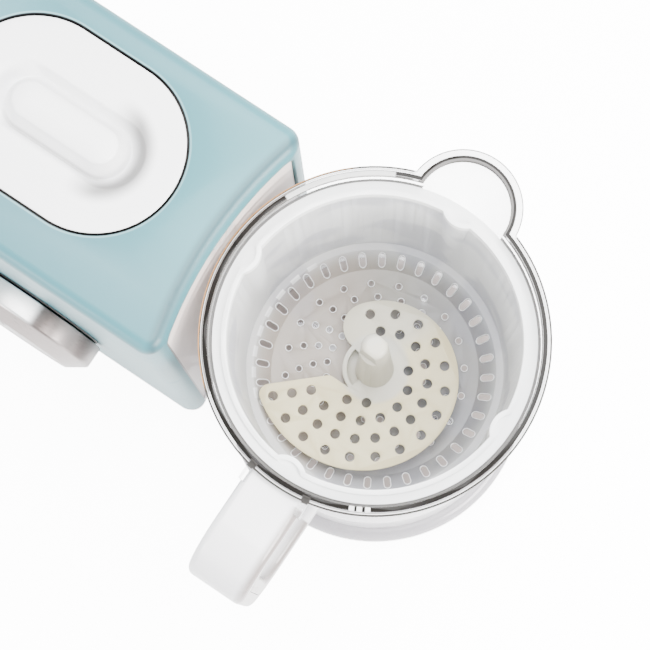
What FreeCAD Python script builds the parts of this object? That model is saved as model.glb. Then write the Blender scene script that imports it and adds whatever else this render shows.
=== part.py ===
import FreeCAD, Part
import math
import os

from FreeCAD import Vector

# Baby food maker: a steam tower beside a lift-off blending bowl on a round motor base.
# Millimetres. +Z up, -Y is the front with the selector knob and the bowl's handle.
# The tower stands on the left (-X) and the bowl on the right (+X).
# The origin is under the middle of the whole object, on the table.

# Tank lid on the tower's top
LID_LENGTH = 90.2
LID_WIDTH = 63.2
LID_GAP = 0.8
LID_OFFSET = 0.9
LID_PLUG_DEPTH = 8.0
LID_PLUG_INSET = 4.6
LID_DISH_LENGTH = 64.0
LID_DISH_WIDTH = 27.0
LID_DISH_DEPTH = 7.5
GRIP_LENGTH = 50.0
GRIP_WIDTH = 20.0
GRIP_CORNER = 6.5
GRIP_RISE = 4.0
GRIP_TAPER = 3.0
GRIP_ROUND = 2.0
LID_SEAL_HEIGHT = 3.0
LID_SEAL_CLEARANCE = 0.25

# Tower shell
TOWER_HEIGHT = 198.0
TOWER_LEFT_MARGIN = 18.9
TOWER_RIGHT_MARGIN = 22.5
TOWER_FRONT_MARGIN = 20.4
TOWER_BACK_MARGIN = 11.6
TOWER_WALL = 2.5
TOWER_TOP_WALL = 3.0
TOWER_CORNER = 6.5
TOWER_TOP_ROUND = 5.0
SCOOP_RADIUS = 155.0
SCOOP_DEPTH = 5.1
SCOOP_RIDGE_ROUND = 6.0

# Side panel in the tower's right face
WINDOW_LIP = 8.0
WINDOW_DROP = 6.0
WINDOW_ROUND = 5.0
PANEL_GAP = 0.3
PANEL_INSET = 1.2
PANEL_WALL = 2.5
PANEL_FLANGE = 1.6
PANEL_FLANGE_WALL = 2.0

# Fits shared by the whole object
SEAT_GAP = 0.1
RUNNING_CLEARANCE = 0.06
TURNING_GAP = 0.8

# Base tray and feet
FOOT_HEIGHT = 3.0
FOOT_RADIUS = 7.0
FOOT_PEG_RADIUS = 2.2
FOOT_INSET = 15.0
FOOT_ANGLE = 50.0
TRAY_HEIGHT = 10.0
TRAY_FLOOR = 2.5
TRAY_WALL = 2.5
TRAY_INSET = 1.0
BASE_RADIUS = 63.3
BASE_ROUND = 4.5
NECK_WIDTH = 60.0
NECK_CHANNEL = 36.0
VENT_COUNT = 12
VENT_LENGTH = 14.0
VENT_WIDTH = 2.6
VENT_START = 14.0

# Motor base under the bowl
DECK_HEIGHT = 60.0
DECK_WALL = 3.0
MOTOR_BASE_RADIUS = 58.0
MOTOR_BASE_WALL = 2.5
MOTOR_BASE_ROUND = 4.0
BRIDGE_DROP = 8.0
WELL_RADIUS = 20.0
WELL_DEPTH = 9.5
WELL_FLOOR = 2.5
LOCATING_RING_HEIGHT = 3.0
LOCATING_RING_WALL = 3.0
LOCATING_GAP = 0.6
BOSS_RADIUS = 4.0
BOSS_INSET = 8.0
BOSS_BITE = 1.2

# Screws
SCREW_RADIUS = 1.5
SCREW_HEAD_RADIUS = 2.8
SCREW_HEAD_HEIGHT = 1.8
SCREW_CLEARANCE = 0.2
BASE_SCREW_BITE = 14.0
BASE_SCREW_NEAR_ANGLE = 20.0
BASE_SCREW_FAR_ANGLE = 95.0

# Bowl
BOWL_RIM_RADIUS = 62.7
BOWL_RIM_CLEARANCE = 0.6
BOWL_RIM_WIDTH = 3.5
BOWL_RIM_STEP = 1.0
BOWL_RIM_HEIGHT = 3.5
BOWL_LIP_DEPTH = 7.5
BOWL_LEDGE_WIDTH = 3.0
BOWL_WALL = 2.3
BOWL_FOOT_RADIUS = 54.2
BOWL_SKIRT_HEIGHT = 4.0
BOWL_SKIRT_WALL = 3.0
BOWL_FLOOR = 3.0
BOWL_COLLAR_RADIUS = 9.0
BOWL_COLLAR_HEIGHT = 7.0
SPOUT_OFFSET = 57.0
SPOUT_RADIUS = 17.0
SPOUT_WALL = 1.8
SPOUT_FLANGE = 4.4
SPOUT_DEPTH = 36.0
SPOUT_FOOT_RADIUS = 7.0
TAB_SPACING = 23.2
TAB_WALL = 2.4
TAB_REACH = 4.5
TAB_HEIGHT = 13.0

# Handle of the bowl
HANDLE_REACH = 42.0
HANDLE_WIDTH = 24.0
HANDLE_THICKNESS = 13.0
HANDLE_BEND = 22.0
HANDLE_LOW = 22.0
HANDLE_SEAM = 0.2
HANDLE_ROUND = 3.0
HANDLE_TOP_DROP = 3.9
HANDLE_SCREW_OFFSET = 9.0
HANDLE_SCREW_LENGTH = 7.0

# Steam basket
BASKET_WALL = 1.8
BASKET_DEPTH = 89.4
BASKET_FLANGE_INSET = 1.2
BASKET_MOUTH_RADIUS = 53.0
BASKET_DRAFT = 2.6
BASKET_STEP = 2.8
BASKET_CONE_WIDTH = 6.6
BASKET_CONE_HEIGHT = 8.0
FLUTE_COUNT = 4
FLUTE_RADIUS = 6.6
FLUTE_REACH = 2.6
BASKET_BEAD = 1.2
SLOT_COUNT = 36
SLOT_LENGTH = 5.0
SLOT_WIDTH = 2.7
DRAIN_RINGS = 4
DRAIN_PER_RING = 20
DRAIN_RADIUS = 1.3
DRAIN_EDGE = 5.6
DRAIN_STEP = 5.4
DRAIN_SWIRL = -4.7

# Spiral strainer plate with its post
PLATE_LIFT = 8.0
PLATE_WALL = 2.2
PLATE_INNER_RADIUS = 25.0
PLATE_EDGE_GAP = 3.6
PLATE_START = 168.0
PLATE_END = -138.0
PLATE_GROWTH = 1.3
PLATE_POINTS = 14
PLATE_START_ROUND = 9.5
PLATE_END_ROUND = 4.0
PLATE_HUB_RADIUS = 9.6
PLATE_COLLAR_RADIUS = 12.6
PLATE_COLLAR_WALL = 1.7
PLATE_COLLAR_LAP_ANGLE = 12.0
PLATE_TROUGH_DEPTH = 6.0
PLATE_SLIT_WIDTH = 5.0
PLATE_SLIT_ANGLE = 28.0
PLATE_SLIT_ROUND = 2.5
PLATE_HOLE_RADIUS = 1.95
PLATE_HOLE_EDGE = 5.0
PLATE_HOLE_ROW = 7.3
PLATE_HOLE_PITCH = 8.0
PLATE_OUTER_PITCH = 10.1
POST_FOOT_RADIUS = 7.5
POST_TIP_RADIUS = 4.8
POST_TIP_DROP = 18.0
POST_TIP_ROUND = 2.4
POST_FLAT_WIDTH = 7.6
POST_FLAT_HEIGHT = 14.0
POST_FLAT_ANGLE = -4.0

# Blade
BLADE_ROOM = 15.2
BLADE_SHAFT_RADIUS = 3.0
BLADE_BUSH_RADIUS = 5.5
BLADE_SEAL_HEIGHT = 2.0
BLADE_HUB_RADIUS = 12.0
BLADE_RADIUS = 43.0
BLADE_ROOT = 6.0
BLADE_WALL = 1.5
BLADE_RING_WALL = 3.0
BLADE_LOW_GAP = 3.0
BLADE_HIGH_GAP = 4.5

# Drive couplers: dogs of the motor side stand between dogs of the blade side
COUPLER_RADIUS = 11.0
COUPLER_DISC = 2.5
DOG_COUNT = 4
DOG_ANGLE = 36.0
DOG_INNER_RADIUS = 5.0
DOG_HEIGHT = 4.0
DOG_END_GAP = 1.0

# Motor
MOTOR_RADIUS = 31.0
MOTOR_CAN_WALL = 1.6
MOTOR_CAN_TOP = 2.0
MOTOR_FLOOR_GAP = 3.5
MOTOR_CAP_HEIGHT = 4.5
MOTOR_CAP_FEET = 4
MOTOR_MOUNT_HEIGHT = 2.5
MOTOR_MOUNT_RADIUS = 4.5
MOTOR_MOUNT_PITCH = 15.2
MOTOR_MOUNT_COUNT = 3
MOTOR_SHAFT_RADIUS = 3.0
BEARING_RADIUS = 8.0
BEARING_HEIGHT = 4.0
BEARING_CARRIER_WALL = 2.0
MAGNET_WALL = 4.2
MAGNET_ANGLE = 130.0
AIR_GAP = 0.9
COMMUTATOR_RADIUS = 9.0
COMMUTATOR_HEIGHT = 6.0
BRUSH_LENGTH = 7.0
BRUSH_WIDTH = 6.0
BRUSH_GAP = 0.2
WINDING_HEIGHT = 2.6
ROTOR_SLOTS = 12
ROTOR_SLOT_RADIUS = 2.2
ROTOR_SLOT_INSET = 4.0
FAN_HEIGHT = 4.0
FAN_DISC = 1.2
FAN_BLADES = 9
FAN_CLEARANCE = 4.0
SHAFT_SEAL_RADIUS = 6.0
SHAFT_SEAL_LIP = 0.8

# Selector knob on the front face
KNOB_HEIGHT = 80.0
KNOB_RADIUS = 34.0
KNOB_DEPTH = 14.0
KNOB_BEVEL = 5.0
KNOB_BEVEL_REACH = 7.4
KNOB_WALL = 2.4
KNOB_BOSS_RADIUS = 6.5
KNOB_SHAFT_RADIUS = 3.0
KNOB_FACE_INSET = 6.0
KNOB_FACE_WALL = 1.2
DIAL_RING_WALL = 0.6
DIAL_RING_INSET = 2.4
DIAL_RING_BORE = 12.0
SWITCH_WIDTH = 30.0
SWITCH_DEPTH = 16.0
SWITCH_BITE = 10.0

# Boiler and steam line
TANK_WALL = 1.8
TANK_DEPTH = 62.0
TANK_FLANGE = 3.0
TANK_FLANGE_WALL = 2.0
HEATER_WALL = 4.0
HEATER_INSET = 3.0
ELEMENT_RING_RADIUS = 16.0
ELEMENT_RADIUS = 3.2
THERMOSTAT_RADIUS = 8.0
THERMOSTAT_HEIGHT = 9.0
FUSE_RADIUS = 2.0
FUSE_LENGTH = 12.0
STEAM_DROP = 14.0
STEAM_BORE = 2.5
STEAM_TUBE_WALL = 1.6
NOZZLE_RADIUS = 4.4
NOZZLE_SEAL_WIDTH = 1.5
NOZZLE_PROUD = 0.3

# Electrics
BOARD_LENGTH = 62.0
BOARD_WIDTH = 46.0
BOARD_WALL = 1.6
BOARD_LIFT = 9.0
BOARD_POST_RADIUS = 3.0
RELAY_LENGTH = 19.0
RELAY_WIDTH = 15.0
RELAY_HEIGHT = 16.0
CAPACITOR_RADIUS = 5.0
CAPACITOR_HEIGHT = 14.0
GLAND_HEIGHT = 32.0
GLAND_OFFSET = 30.0
GLAND_RADIUS = 6.0
GLAND_FLANGE = 2.2
GLAND_FLANGE_WALL = 1.5
GLAND_BORE = 3.4

# Plan of the whole object, worked out from the sizes above
LID_END = LID_WIDTH / 2
LID_CENTRES = LID_LENGTH / 2 - LID_END
TOWER_LEFT = LID_LENGTH / 2 + TOWER_LEFT_MARGIN
TOWER_NEAR_BOWL = LID_LENGTH / 2 + TOWER_RIGHT_MARGIN
BOWL_SPACING = TOWER_NEAR_BOWL + BOWL_RIM_CLEARANCE + BOWL_RIM_RADIUS
RIGHT_REACH = max(BASE_RADIUS, BOWL_RIM_RADIUS)
SPOUT_REACH = SPOUT_OFFSET + SPOUT_RADIUS + SPOUT_FLANGE
TOWER_X = (TOWER_LEFT - BOWL_SPACING - RIGHT_REACH) / 2
BOWL_X = TOWER_X + BOWL_SPACING
BOWL_Y = (BOWL_RIM_RADIUS + HANDLE_REACH - SPOUT_REACH) / 2
TOWER_X0 = TOWER_X - TOWER_LEFT
TOWER_X1 = TOWER_X + TOWER_NEAR_BOWL + SCOOP_DEPTH
LID_Y = BOWL_Y + LID_OFFSET
TOWER_Y0 = LID_Y - LID_END - TOWER_FRONT_MARGIN
TOWER_Y1 = LID_Y + LID_END + TOWER_BACK_MARGIN
TOWER_YM = (TOWER_Y0 + TOWER_Y1) / 2
SCOOP_X = TOWER_X + TOWER_NEAR_BOWL + SCOOP_RADIUS

# Levels, from the table up
TRAY_TOP = FOOT_HEIGHT + TRAY_HEIGHT
TRAY_FLOOR_TOP = FOOT_HEIGHT + TRAY_FLOOR
WELL_TOP = DECK_HEIGHT - WELL_DEPTH
WELL_UNDER = WELL_TOP - WELL_FLOOR
BOWL_BOTTOM = DECK_HEIGHT + SEAT_GAP
BOWL_FLOOR_UNDER = BOWL_BOTTOM + BOWL_SKIRT_HEIGHT
BOWL_FLOOR_TOP = BOWL_FLOOR_UNDER + BOWL_FLOOR
COLLAR_TOP = BOWL_FLOOR_TOP + BOWL_COLLAR_HEIGHT
BASKET_UNDER = BOWL_FLOOR_TOP + BLADE_ROOM
BASKET_FLOOR_TOP = BASKET_UNDER + BASKET_WALL
BASKET_TOP = BASKET_FLOOR_TOP + BASKET_DEPTH
BASKET_FLANGE_TOP = BASKET_TOP - BASKET_BEAD
BASKET_FLANGE_UNDER = BASKET_FLANGE_TOP - BASKET_WALL
BOWL_LEDGE = BASKET_FLANGE_UNDER - SEAT_GAP
BOWL_TOP = BOWL_LEDGE + BOWL_LIP_DEPTH
PLATE_UNDER = BASKET_FLOOR_TOP + PLATE_LIFT
PLATE_TOP = PLATE_UNDER + PLATE_WALL
POST_TOP = BOWL_TOP - POST_TIP_DROP
BLADE_HUB_TOP = BASKET_UNDER - TURNING_GAP
BLADE_HUB_UNDER = BOWL_FLOOR_TOP + TURNING_GAP
TANK_TOP = TOWER_HEIGHT - TOWER_TOP_WALL
TANK_FLOOR = TANK_TOP - TANK_DEPTH
STEAM_HEIGHT = TOWER_HEIGHT - STEAM_DROP
HEATER_UNDER = TANK_FLOOR - TANK_WALL - HEATER_WALL
DRIVE_UNDER = WELL_TOP + SHAFT_SEAL_LIP + TURNING_GAP
DRIVE_DISC_TOP = DRIVE_UNDER + COUPLER_DISC
BLADE_DISC_UNDER = DRIVE_DISC_TOP + DOG_HEIGHT + DOG_END_GAP
BLADE_DISC_TOP = BLADE_DISC_UNDER + COUPLER_DISC
MOTOR_LOW = TRAY_FLOOR_TOP + MOTOR_FLOOR_GAP
MOTOR_CAP_TOP = MOTOR_LOW + MOTOR_CAP_HEIGHT
MOTOR_TOP = WELL_UNDER - MOTOR_MOUNT_HEIGHT
BEARING_LOW_UNDER = MOTOR_CAP_TOP - BEARING_HEIGHT
BEARING_HIGH_TOP = MOTOR_TOP - MOTOR_CAN_TOP
BEARING_HIGH_UNDER = BEARING_HIGH_TOP - BEARING_HEIGHT
COMMUTATOR_UNDER = MOTOR_CAP_TOP + TURNING_GAP
COMMUTATOR_TOP = COMMUTATOR_UNDER + COMMUTATOR_HEIGHT
FAN_TOP = BEARING_HIGH_UNDER - TURNING_GAP
FAN_UNDER = FAN_TOP - FAN_HEIGHT
CORE_UNDER = COMMUTATOR_TOP + WINDING_HEIGHT
CORE_TOP = FAN_UNDER - TURNING_GAP - WINDING_HEIGHT

# Radii that follow from the sizes above
BOWL_MOUTH_RADIUS = BOWL_RIM_RADIUS - BOWL_RIM_WIDTH
BOWL_THROAT_RADIUS = BOWL_MOUTH_RADIUS - BOWL_LEDGE_WIDTH
BOWL_SKIRT_BORE = BOWL_FOOT_RADIUS - BOWL_SKIRT_WALL
BASKET_FOOT_RADIUS = BASKET_MOUTH_RADIUS - BASKET_DRAFT
BASKET_CONE_TOP = BASKET_FOOT_RADIUS - BASKET_STEP
BASKET_CONE_FOOT = BASKET_CONE_TOP - BASKET_CONE_WIDTH
BASKET_STEP_TOP = BASKET_FLOOR_TOP + BASKET_CONE_HEIGHT
PLATE_OUTER_RADIUS = BASKET_FOOT_RADIUS - PLATE_EDGE_GAP
CAN_BORE = MOTOR_RADIUS - MOTOR_CAN_WALL
MAGNET_BORE = CAN_BORE - MAGNET_WALL
CORE_RADIUS = MAGNET_BORE - AIR_GAP
TANK_END = LID_END - LID_PLUG_INSET + LID_SEAL_CLEARANCE
KNOB_BACK = TOWER_Y0 - DIAL_RING_WALL - TURNING_GAP
KNOB_FRONT = KNOB_BACK - KNOB_DEPTH
GLAND_X = TOWER_X - GLAND_OFFSET

UP = Vector(0, 0, 1)
ALONG_X = Vector(1, 0, 0)
ALONG_Y = Vector(0, 1, 0)
THROUGH = 1.0


def box(x0, x1, y0, y1, z0, z1):
    """Block between two corners."""
    return Part.makeBox(x1 - x0, y1 - y0, z1 - z0, Vector(x0, y0, z0))


def rod(x, y, z0, z1, radius):
    """Upright cylinder."""
    return Part.makeCylinder(radius, z1 - z0, Vector(x, y, z0))


def tube(x, y, z0, z1, outer, inner):
    """Upright tube."""
    return rod(x, y, z0, z1, outer).cut(rod(x, y, z0, z1, inner))


def rod_x(x0, x1, y, z, radius):
    """Cylinder along X."""
    return Part.makeCylinder(radius, x1 - x0, Vector(x0, y, z), ALONG_X)


def rod_y(x, y0, y1, z, radius):
    """Cylinder along Y."""
    return Part.makeCylinder(radius, y1 - y0, Vector(x, y0, z), ALONG_Y)


def turned(x, y, profile):
    """Solid of revolution about an upright axis from (radius, height) corners."""
    corners = [Vector(x + radius, y, height) for radius, height in profile]
    corners.append(corners[0])
    face = Part.Face(Part.makePolygon(corners))
    return face.revolve(Vector(x, y, 0), UP, 360)


def joined(shapes):
    """One solid out of shapes that touch or overlap."""
    return shapes[0].fuse(shapes[1:]).removeSplitter()


def around(shape, count, x, y, start=0.0):
    """Copies of a shape at an even pitch about an upright axis."""
    copies = []
    for index in range(count):
        copy = shape.copy()
        copy.rotate(Vector(x, y, 0), UP, start + index * 360.0 / count)
        copies.append(copy)
    return copies


def polar(x, y, radius, degrees, z=0.0):
    """Point at a radius and angle about (x, y)."""
    angle = math.radians(degrees)
    return Vector(x + radius * math.cos(angle), y + radius * math.sin(angle), z)


def level_edges(shape, height):
    """Edges that lie flat at one height."""
    return [edge for edge in shape.Edges
            if abs(edge.BoundBox.ZMin - height) < 1e-6 and abs(edge.BoundBox.ZMax - height) < 1e-6]


def upright_edges(shape):
    """Straight edges that stand upright."""
    return [edge for edge in shape.Edges
            if edge.BoundBox.XLength < 1e-6 and edge.BoundBox.YLength < 1e-6]


def stadium(end_radius, z0, z1):
    """Upright stadium prism on the tank lid's two end centres."""
    left = rod(TOWER_X - LID_CENTRES, LID_Y, z0, z1, end_radius)
    right = rod(TOWER_X + LID_CENTRES, LID_Y, z0, z1, end_radius)
    middle = box(TOWER_X - LID_CENTRES, TOWER_X + LID_CENTRES,
                 LID_Y - end_radius, LID_Y + end_radius, z0, z1)
    return joined([left, middle, right])


def tower_prism(inset, z0, z1):
    """Prism of the tower's plan, drawn in by inset, hollow towards the bowl."""
    block = box(TOWER_X0 + inset, TOWER_X1 - inset, TOWER_Y0 + inset, TOWER_Y1 - inset, z0, z1)
    scooped = block.cut(rod(SCOOP_X, TOWER_YM, z0, z1, SCOOP_RADIUS + inset))
    half_depth = (TOWER_Y1 - TOWER_Y0) / 2 - inset
    corners = [edge for edge in upright_edges(scooped)
               if abs(abs(edge.CenterOfMass.y - TOWER_YM) - half_depth) < 1e-6]
    corner_radius = max(TOWER_CORNER - inset, SEAT_GAP)
    rounded = scooped.makeFillet(corner_radius, corners)
    ridges = [edge for edge in upright_edges(rounded)
              if edge.CenterOfMass.x > TOWER_X
              and abs(edge.CenterOfMass.y - TOWER_YM) < half_depth - corner_radius - SEAT_GAP]
    return rounded.makeFillet(SCOOP_RIDGE_ROUND, ridges)


def window(grow, z0):
    """Opening in the tower's right face, grown on all sides."""
    top = TOWER_HEIGHT - WINDOW_DROP + grow
    block = box(TOWER_X, TOWER_X1 + THROUGH, TOWER_Y0 + WINDOW_LIP - grow,
                TOWER_Y1 - WINDOW_LIP + grow, z0, top)
    upper = [edge for edge in level_edges(block, top) if edge.BoundBox.XLength > THROUGH]
    return block.makeFillet(WINDOW_ROUND + grow, upper)


def bowl_points(degrees_list, radius):
    """Places on a circle about the bowl's axis."""
    return [polar(BOWL_X, BOWL_Y, radius, degrees) for degrees in degrees_list]


def foot_places():
    """Where the feet stand: two at the tower's far corners, two under the round base."""
    near_tower = [Vector(TOWER_X0 + FOOT_INSET, TOWER_Y0 + FOOT_INSET, 0),
                  Vector(TOWER_X0 + FOOT_INSET, TOWER_Y1 - FOOT_INSET, 0)]
    return near_tower + bowl_points([-FOOT_ANGLE, FOOT_ANGLE], BASE_RADIUS - FOOT_INSET)


def tower_screw_places():
    """Screw bosses in the tower's corners, beside its walls."""
    inset = TOWER_WALL + BOSS_RADIUS - BOSS_BITE
    middle = (TOWER_X0 + TOWER_X1) / 2
    return [Vector(TOWER_X0 + inset, TOWER_YM, 0),
            Vector(middle, TOWER_Y0 + inset, 0),
            Vector(middle, TOWER_Y1 - inset, 0)]


def base_screw_places():
    """Screw bosses in the motor base."""
    angles = [side * angle for side in (-1, 1) for angle in (BASE_SCREW_NEAR_ANGLE, BASE_SCREW_FAR_ANGLE)]
    return bowl_points(angles, MOTOR_BASE_RADIUS - BOSS_INSET)


def tower_shell():
    """Outer shell of the steam tower, open underneath and towards the bowl."""
    outer = tower_prism(0, TRAY_TOP, TOWER_HEIGHT)
    outer = outer.makeFillet(TOWER_TOP_ROUND, level_edges(outer, TOWER_HEIGHT))
    shell = outer.cut(tower_prism(TOWER_WALL, TRAY_TOP, TANK_TOP))
    shell = shell.cut(window(0, TRAY_TOP - THROUGH))
    shell = shell.cut(stadium(LID_END + LID_GAP, TANK_TOP - THROUGH, TOWER_HEIGHT + THROUGH))
    knob_hole = rod_y(TOWER_X, TOWER_Y0 - THROUGH, TOWER_Y0 + TOWER_WALL + THROUGH, KNOB_HEIGHT,
                      KNOB_SHAFT_RADIUS + SCREW_CLEARANCE)
    gland_hole = rod_y(GLAND_X, TOWER_Y1 - TOWER_WALL - THROUGH, TOWER_Y1 + THROUGH, GLAND_HEIGHT,
                       GLAND_RADIUS)
    shell = shell.cut(knob_hole).cut(gland_hole)
    boss_top = TRAY_TOP + 2 * BASE_SCREW_BITE
    inside = tower_prism(0, TRAY_FLOOR_TOP, boss_top)
    inside = inside.cut(tower_prism(0, TRAY_FLOOR_TOP, TRAY_TOP).cut(
        tower_prism(TRAY_INSET + TRAY_WALL + SEAT_GAP, TRAY_FLOOR_TOP, TRAY_TOP)))
    bosses = []
    for place in tower_screw_places():
        boss = tube(place.x, place.y, TRAY_FLOOR_TOP, boss_top, BOSS_RADIUS, SCREW_RADIUS)
        bosses.append(boss.common(inside))
    shell = joined([shell] + bosses)
    return shell


def side_panel():
    """Inset panel that closes the tower towards the bowl, flanged behind the shell's lip."""
    top = TOWER_HEIGHT
    facing = tower_prism(PANEL_INSET, TRAY_TOP, top).cut(
        tower_prism(PANEL_INSET + PANEL_WALL, TRAY_TOP, top))
    facing = facing.common(window(-PANEL_GAP, TRAY_TOP))
    behind = TOWER_WALL + SEAT_GAP
    flange = tower_prism(behind, TRAY_TOP, top).cut(
        tower_prism(behind + PANEL_FLANGE_WALL, TRAY_TOP, top))
    flange = flange.common(window(PANEL_FLANGE, TRAY_TOP))
    right_side = box(BOWL_X - BOWL_SPACING + LID_LENGTH / 2, TOWER_X1, TOWER_Y0, TOWER_Y1, 0, top)
    panel = joined([facing.common(right_side), flange.common(right_side)])
    nozzle_hole = rod_x(TOWER_X, TOWER_X1, BOWL_Y, STEAM_HEIGHT, NOZZLE_RADIUS + NOZZLE_SEAL_WIDTH)
    return panel.cut(nozzle_hole)


def base_tray():
    """Bottom tray under the tower and the round base, with vents below the motor."""
    disc = rod(BOWL_X, BOWL_Y, FOOT_HEIGHT, TRAY_TOP, BASE_RADIUS)
    disc = disc.makeFillet(BASE_ROUND, level_edges(disc, TRAY_TOP))
    neck = box(TOWER_X, BOWL_X, BOWL_Y - NECK_WIDTH / 2, BOWL_Y + NECK_WIDTH / 2,
               FOOT_HEIGHT, TRAY_TOP - BASE_ROUND)
    block = joined([tower_prism(TRAY_INSET, FOOT_HEIGHT, TRAY_TOP), neck, disc])
    tower_room = tower_prism(TRAY_INSET + TRAY_WALL, TRAY_FLOOR_TOP, TRAY_TOP + THROUGH)
    motor_room = rod(BOWL_X, BOWL_Y, TRAY_FLOOR_TOP, TRAY_TOP + THROUGH,
                     MOTOR_BASE_RADIUS - MOTOR_BASE_WALL - SEAT_GAP)
    channel = box(TOWER_X, BOWL_X, BOWL_Y - NECK_CHANNEL / 2, BOWL_Y + NECK_CHANNEL / 2,
                  TRAY_FLOOR_TOP, TRAY_TOP + THROUGH)
    tray = block.cut(tower_room).cut(motor_room).cut(channel)
    vent = box(BOWL_X + VENT_START, BOWL_X + VENT_START + VENT_LENGTH, BOWL_Y - VENT_WIDTH / 2,
               BOWL_Y + VENT_WIDTH / 2, FOOT_HEIGHT - THROUGH, TRAY_FLOOR_TOP + THROUGH)
    tray = tray.cut(around(vent, VENT_COUNT, BOWL_X, BOWL_Y))
    holes = [rod(place.x, place.y, 0, TRAY_FLOOR_TOP + THROUGH, FOOT_PEG_RADIUS)
             for place in foot_places()]
    for place in tower_screw_places() + base_screw_places():
        holes.append(rod(place.x, place.y, 0, TRAY_FLOOR_TOP + THROUGH, SCREW_RADIUS + SCREW_CLEARANCE))
        holes.append(rod(place.x, place.y, 0, FOOT_HEIGHT + SCREW_HEAD_HEIGHT,
                         SCREW_HEAD_RADIUS + SCREW_CLEARANCE))
    tray = tray.cut(holes)
    posts = [rod(x, y, TRAY_FLOOR_TOP, TRAY_FLOOR_TOP + BOARD_LIFT, BOARD_POST_RADIUS)
             for x, y in board_corners()]
    return joined([tray] + posts)


def rubber_feet():
    """Feet with pegs in the tray's floor."""
    feet = []
    for place in foot_places():
        pad = rod(place.x, place.y, 0, FOOT_HEIGHT, FOOT_RADIUS)
        peg = rod(place.x, place.y, 0, TRAY_FLOOR_TOP, FOOT_PEG_RADIUS)
        feet.append(joined([pad, peg]))
    return Part.makeCompound(feet)


def base_screws():
    """Screws that hold the tray to the tower and to the motor base."""
    screws = []
    for place in tower_screw_places() + base_screw_places():
        head = rod(place.x, place.y, FOOT_HEIGHT, FOOT_HEIGHT + SCREW_HEAD_HEIGHT, SCREW_HEAD_RADIUS)
        shank = rod(place.x, place.y, FOOT_HEIGHT, TRAY_FLOOR_TOP + BASE_SCREW_BITE, SCREW_RADIUS)
        screws.append(joined([head, shank]))
    return Part.makeCompound(screws)


def motor_base():
    """Round housing over the motor, with the drive well and the bowl's locating ring."""
    drum = rod(BOWL_X, BOWL_Y, TRAY_TOP, DECK_HEIGHT, MOTOR_BASE_RADIUS)
    drum = drum.makeFillet(MOTOR_BASE_ROUND, level_edges(drum, DECK_HEIGHT))
    bridge = box(TOWER_X, BOWL_X, BOWL_Y - NECK_WIDTH / 2, BOWL_Y + NECK_WIDTH / 2,
                 TRAY_TOP, DECK_HEIGHT - BRIDGE_DROP)
    room = rod(BOWL_X, BOWL_Y, TRAY_TOP, DECK_HEIGHT - DECK_WALL, MOTOR_BASE_RADIUS - MOTOR_BASE_WALL)
    channel = box(TOWER_X, BOWL_X, BOWL_Y - NECK_CHANNEL / 2, BOWL_Y + NECK_CHANNEL / 2,
                  TRAY_TOP, DECK_HEIGHT - 2 * BRIDGE_DROP)
    housing = joined([drum, bridge])
    housing = housing.cut(tower_prism(PANEL_INSET - SEAT_GAP, TRAY_TOP, DECK_HEIGHT))
    housing = housing.cut(room).cut(channel)
    well = rod(BOWL_X, BOWL_Y, WELL_UNDER, DECK_HEIGHT - DECK_WALL, WELL_RADIUS + MOTOR_BASE_WALL)
    ring_outer = BOWL_SKIRT_BORE - LOCATING_GAP
    ring = tube(BOWL_X, BOWL_Y, DECK_HEIGHT - DECK_WALL, DECK_HEIGHT + LOCATING_RING_HEIGHT,
                ring_outer, ring_outer - LOCATING_RING_WALL)
    bosses = [rod(place.x, place.y, TRAY_FLOOR_TOP, DECK_HEIGHT - DECK_WALL, BOSS_RADIUS)
              for place in base_screw_places()]
    housing = joined([housing, well, ring] + bosses)
    cuts = [rod(BOWL_X, BOWL_Y, WELL_TOP, DECK_HEIGHT + THROUGH, WELL_RADIUS),
            rod(BOWL_X, BOWL_Y, WELL_UNDER - THROUGH, WELL_TOP + THROUGH, SHAFT_SEAL_RADIUS)]
    for place in base_screw_places():
        cuts.append(rod(place.x, place.y, TRAY_FLOOR_TOP, TRAY_FLOOR_TOP + BASE_SCREW_BITE, SCREW_RADIUS))
    for place in motor_mount_places():
        cuts.append(rod(place.x, place.y, WELL_UNDER, WELL_TOP, SCREW_RADIUS + SCREW_CLEARANCE))
    return housing.cut(cuts)


def motor_mount_places():
    """Where the motor hangs from the drive well's floor."""
    pitch = 360.0 / MOTOR_MOUNT_COUNT
    return bowl_points([index * pitch for index in range(MOTOR_MOUNT_COUNT)], MOTOR_MOUNT_PITCH)


def motor_can():
    """Steel can of the motor with the upper bearing's carrier."""
    can = rod(BOWL_X, BOWL_Y, MOTOR_CAP_TOP, MOTOR_TOP, MOTOR_RADIUS)
    can = can.cut(rod(BOWL_X, BOWL_Y, MOTOR_CAP_TOP, BEARING_HIGH_TOP, CAN_BORE))
    carrier = tube(BOWL_X, BOWL_Y, BEARING_HIGH_UNDER, BEARING_HIGH_TOP,
                   BEARING_RADIUS + BEARING_CARRIER_WALL, BEARING_RADIUS)
    can = joined([can, carrier])
    cuts = [rod(BOWL_X, BOWL_Y, BEARING_HIGH_TOP, MOTOR_TOP, MOTOR_SHAFT_RADIUS + TURNING_GAP)]
    for place in motor_mount_places():
        cuts.append(rod(place.x, place.y, BEARING_HIGH_TOP, MOTOR_TOP, SCREW_RADIUS))
    return can.cut(cuts)


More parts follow.
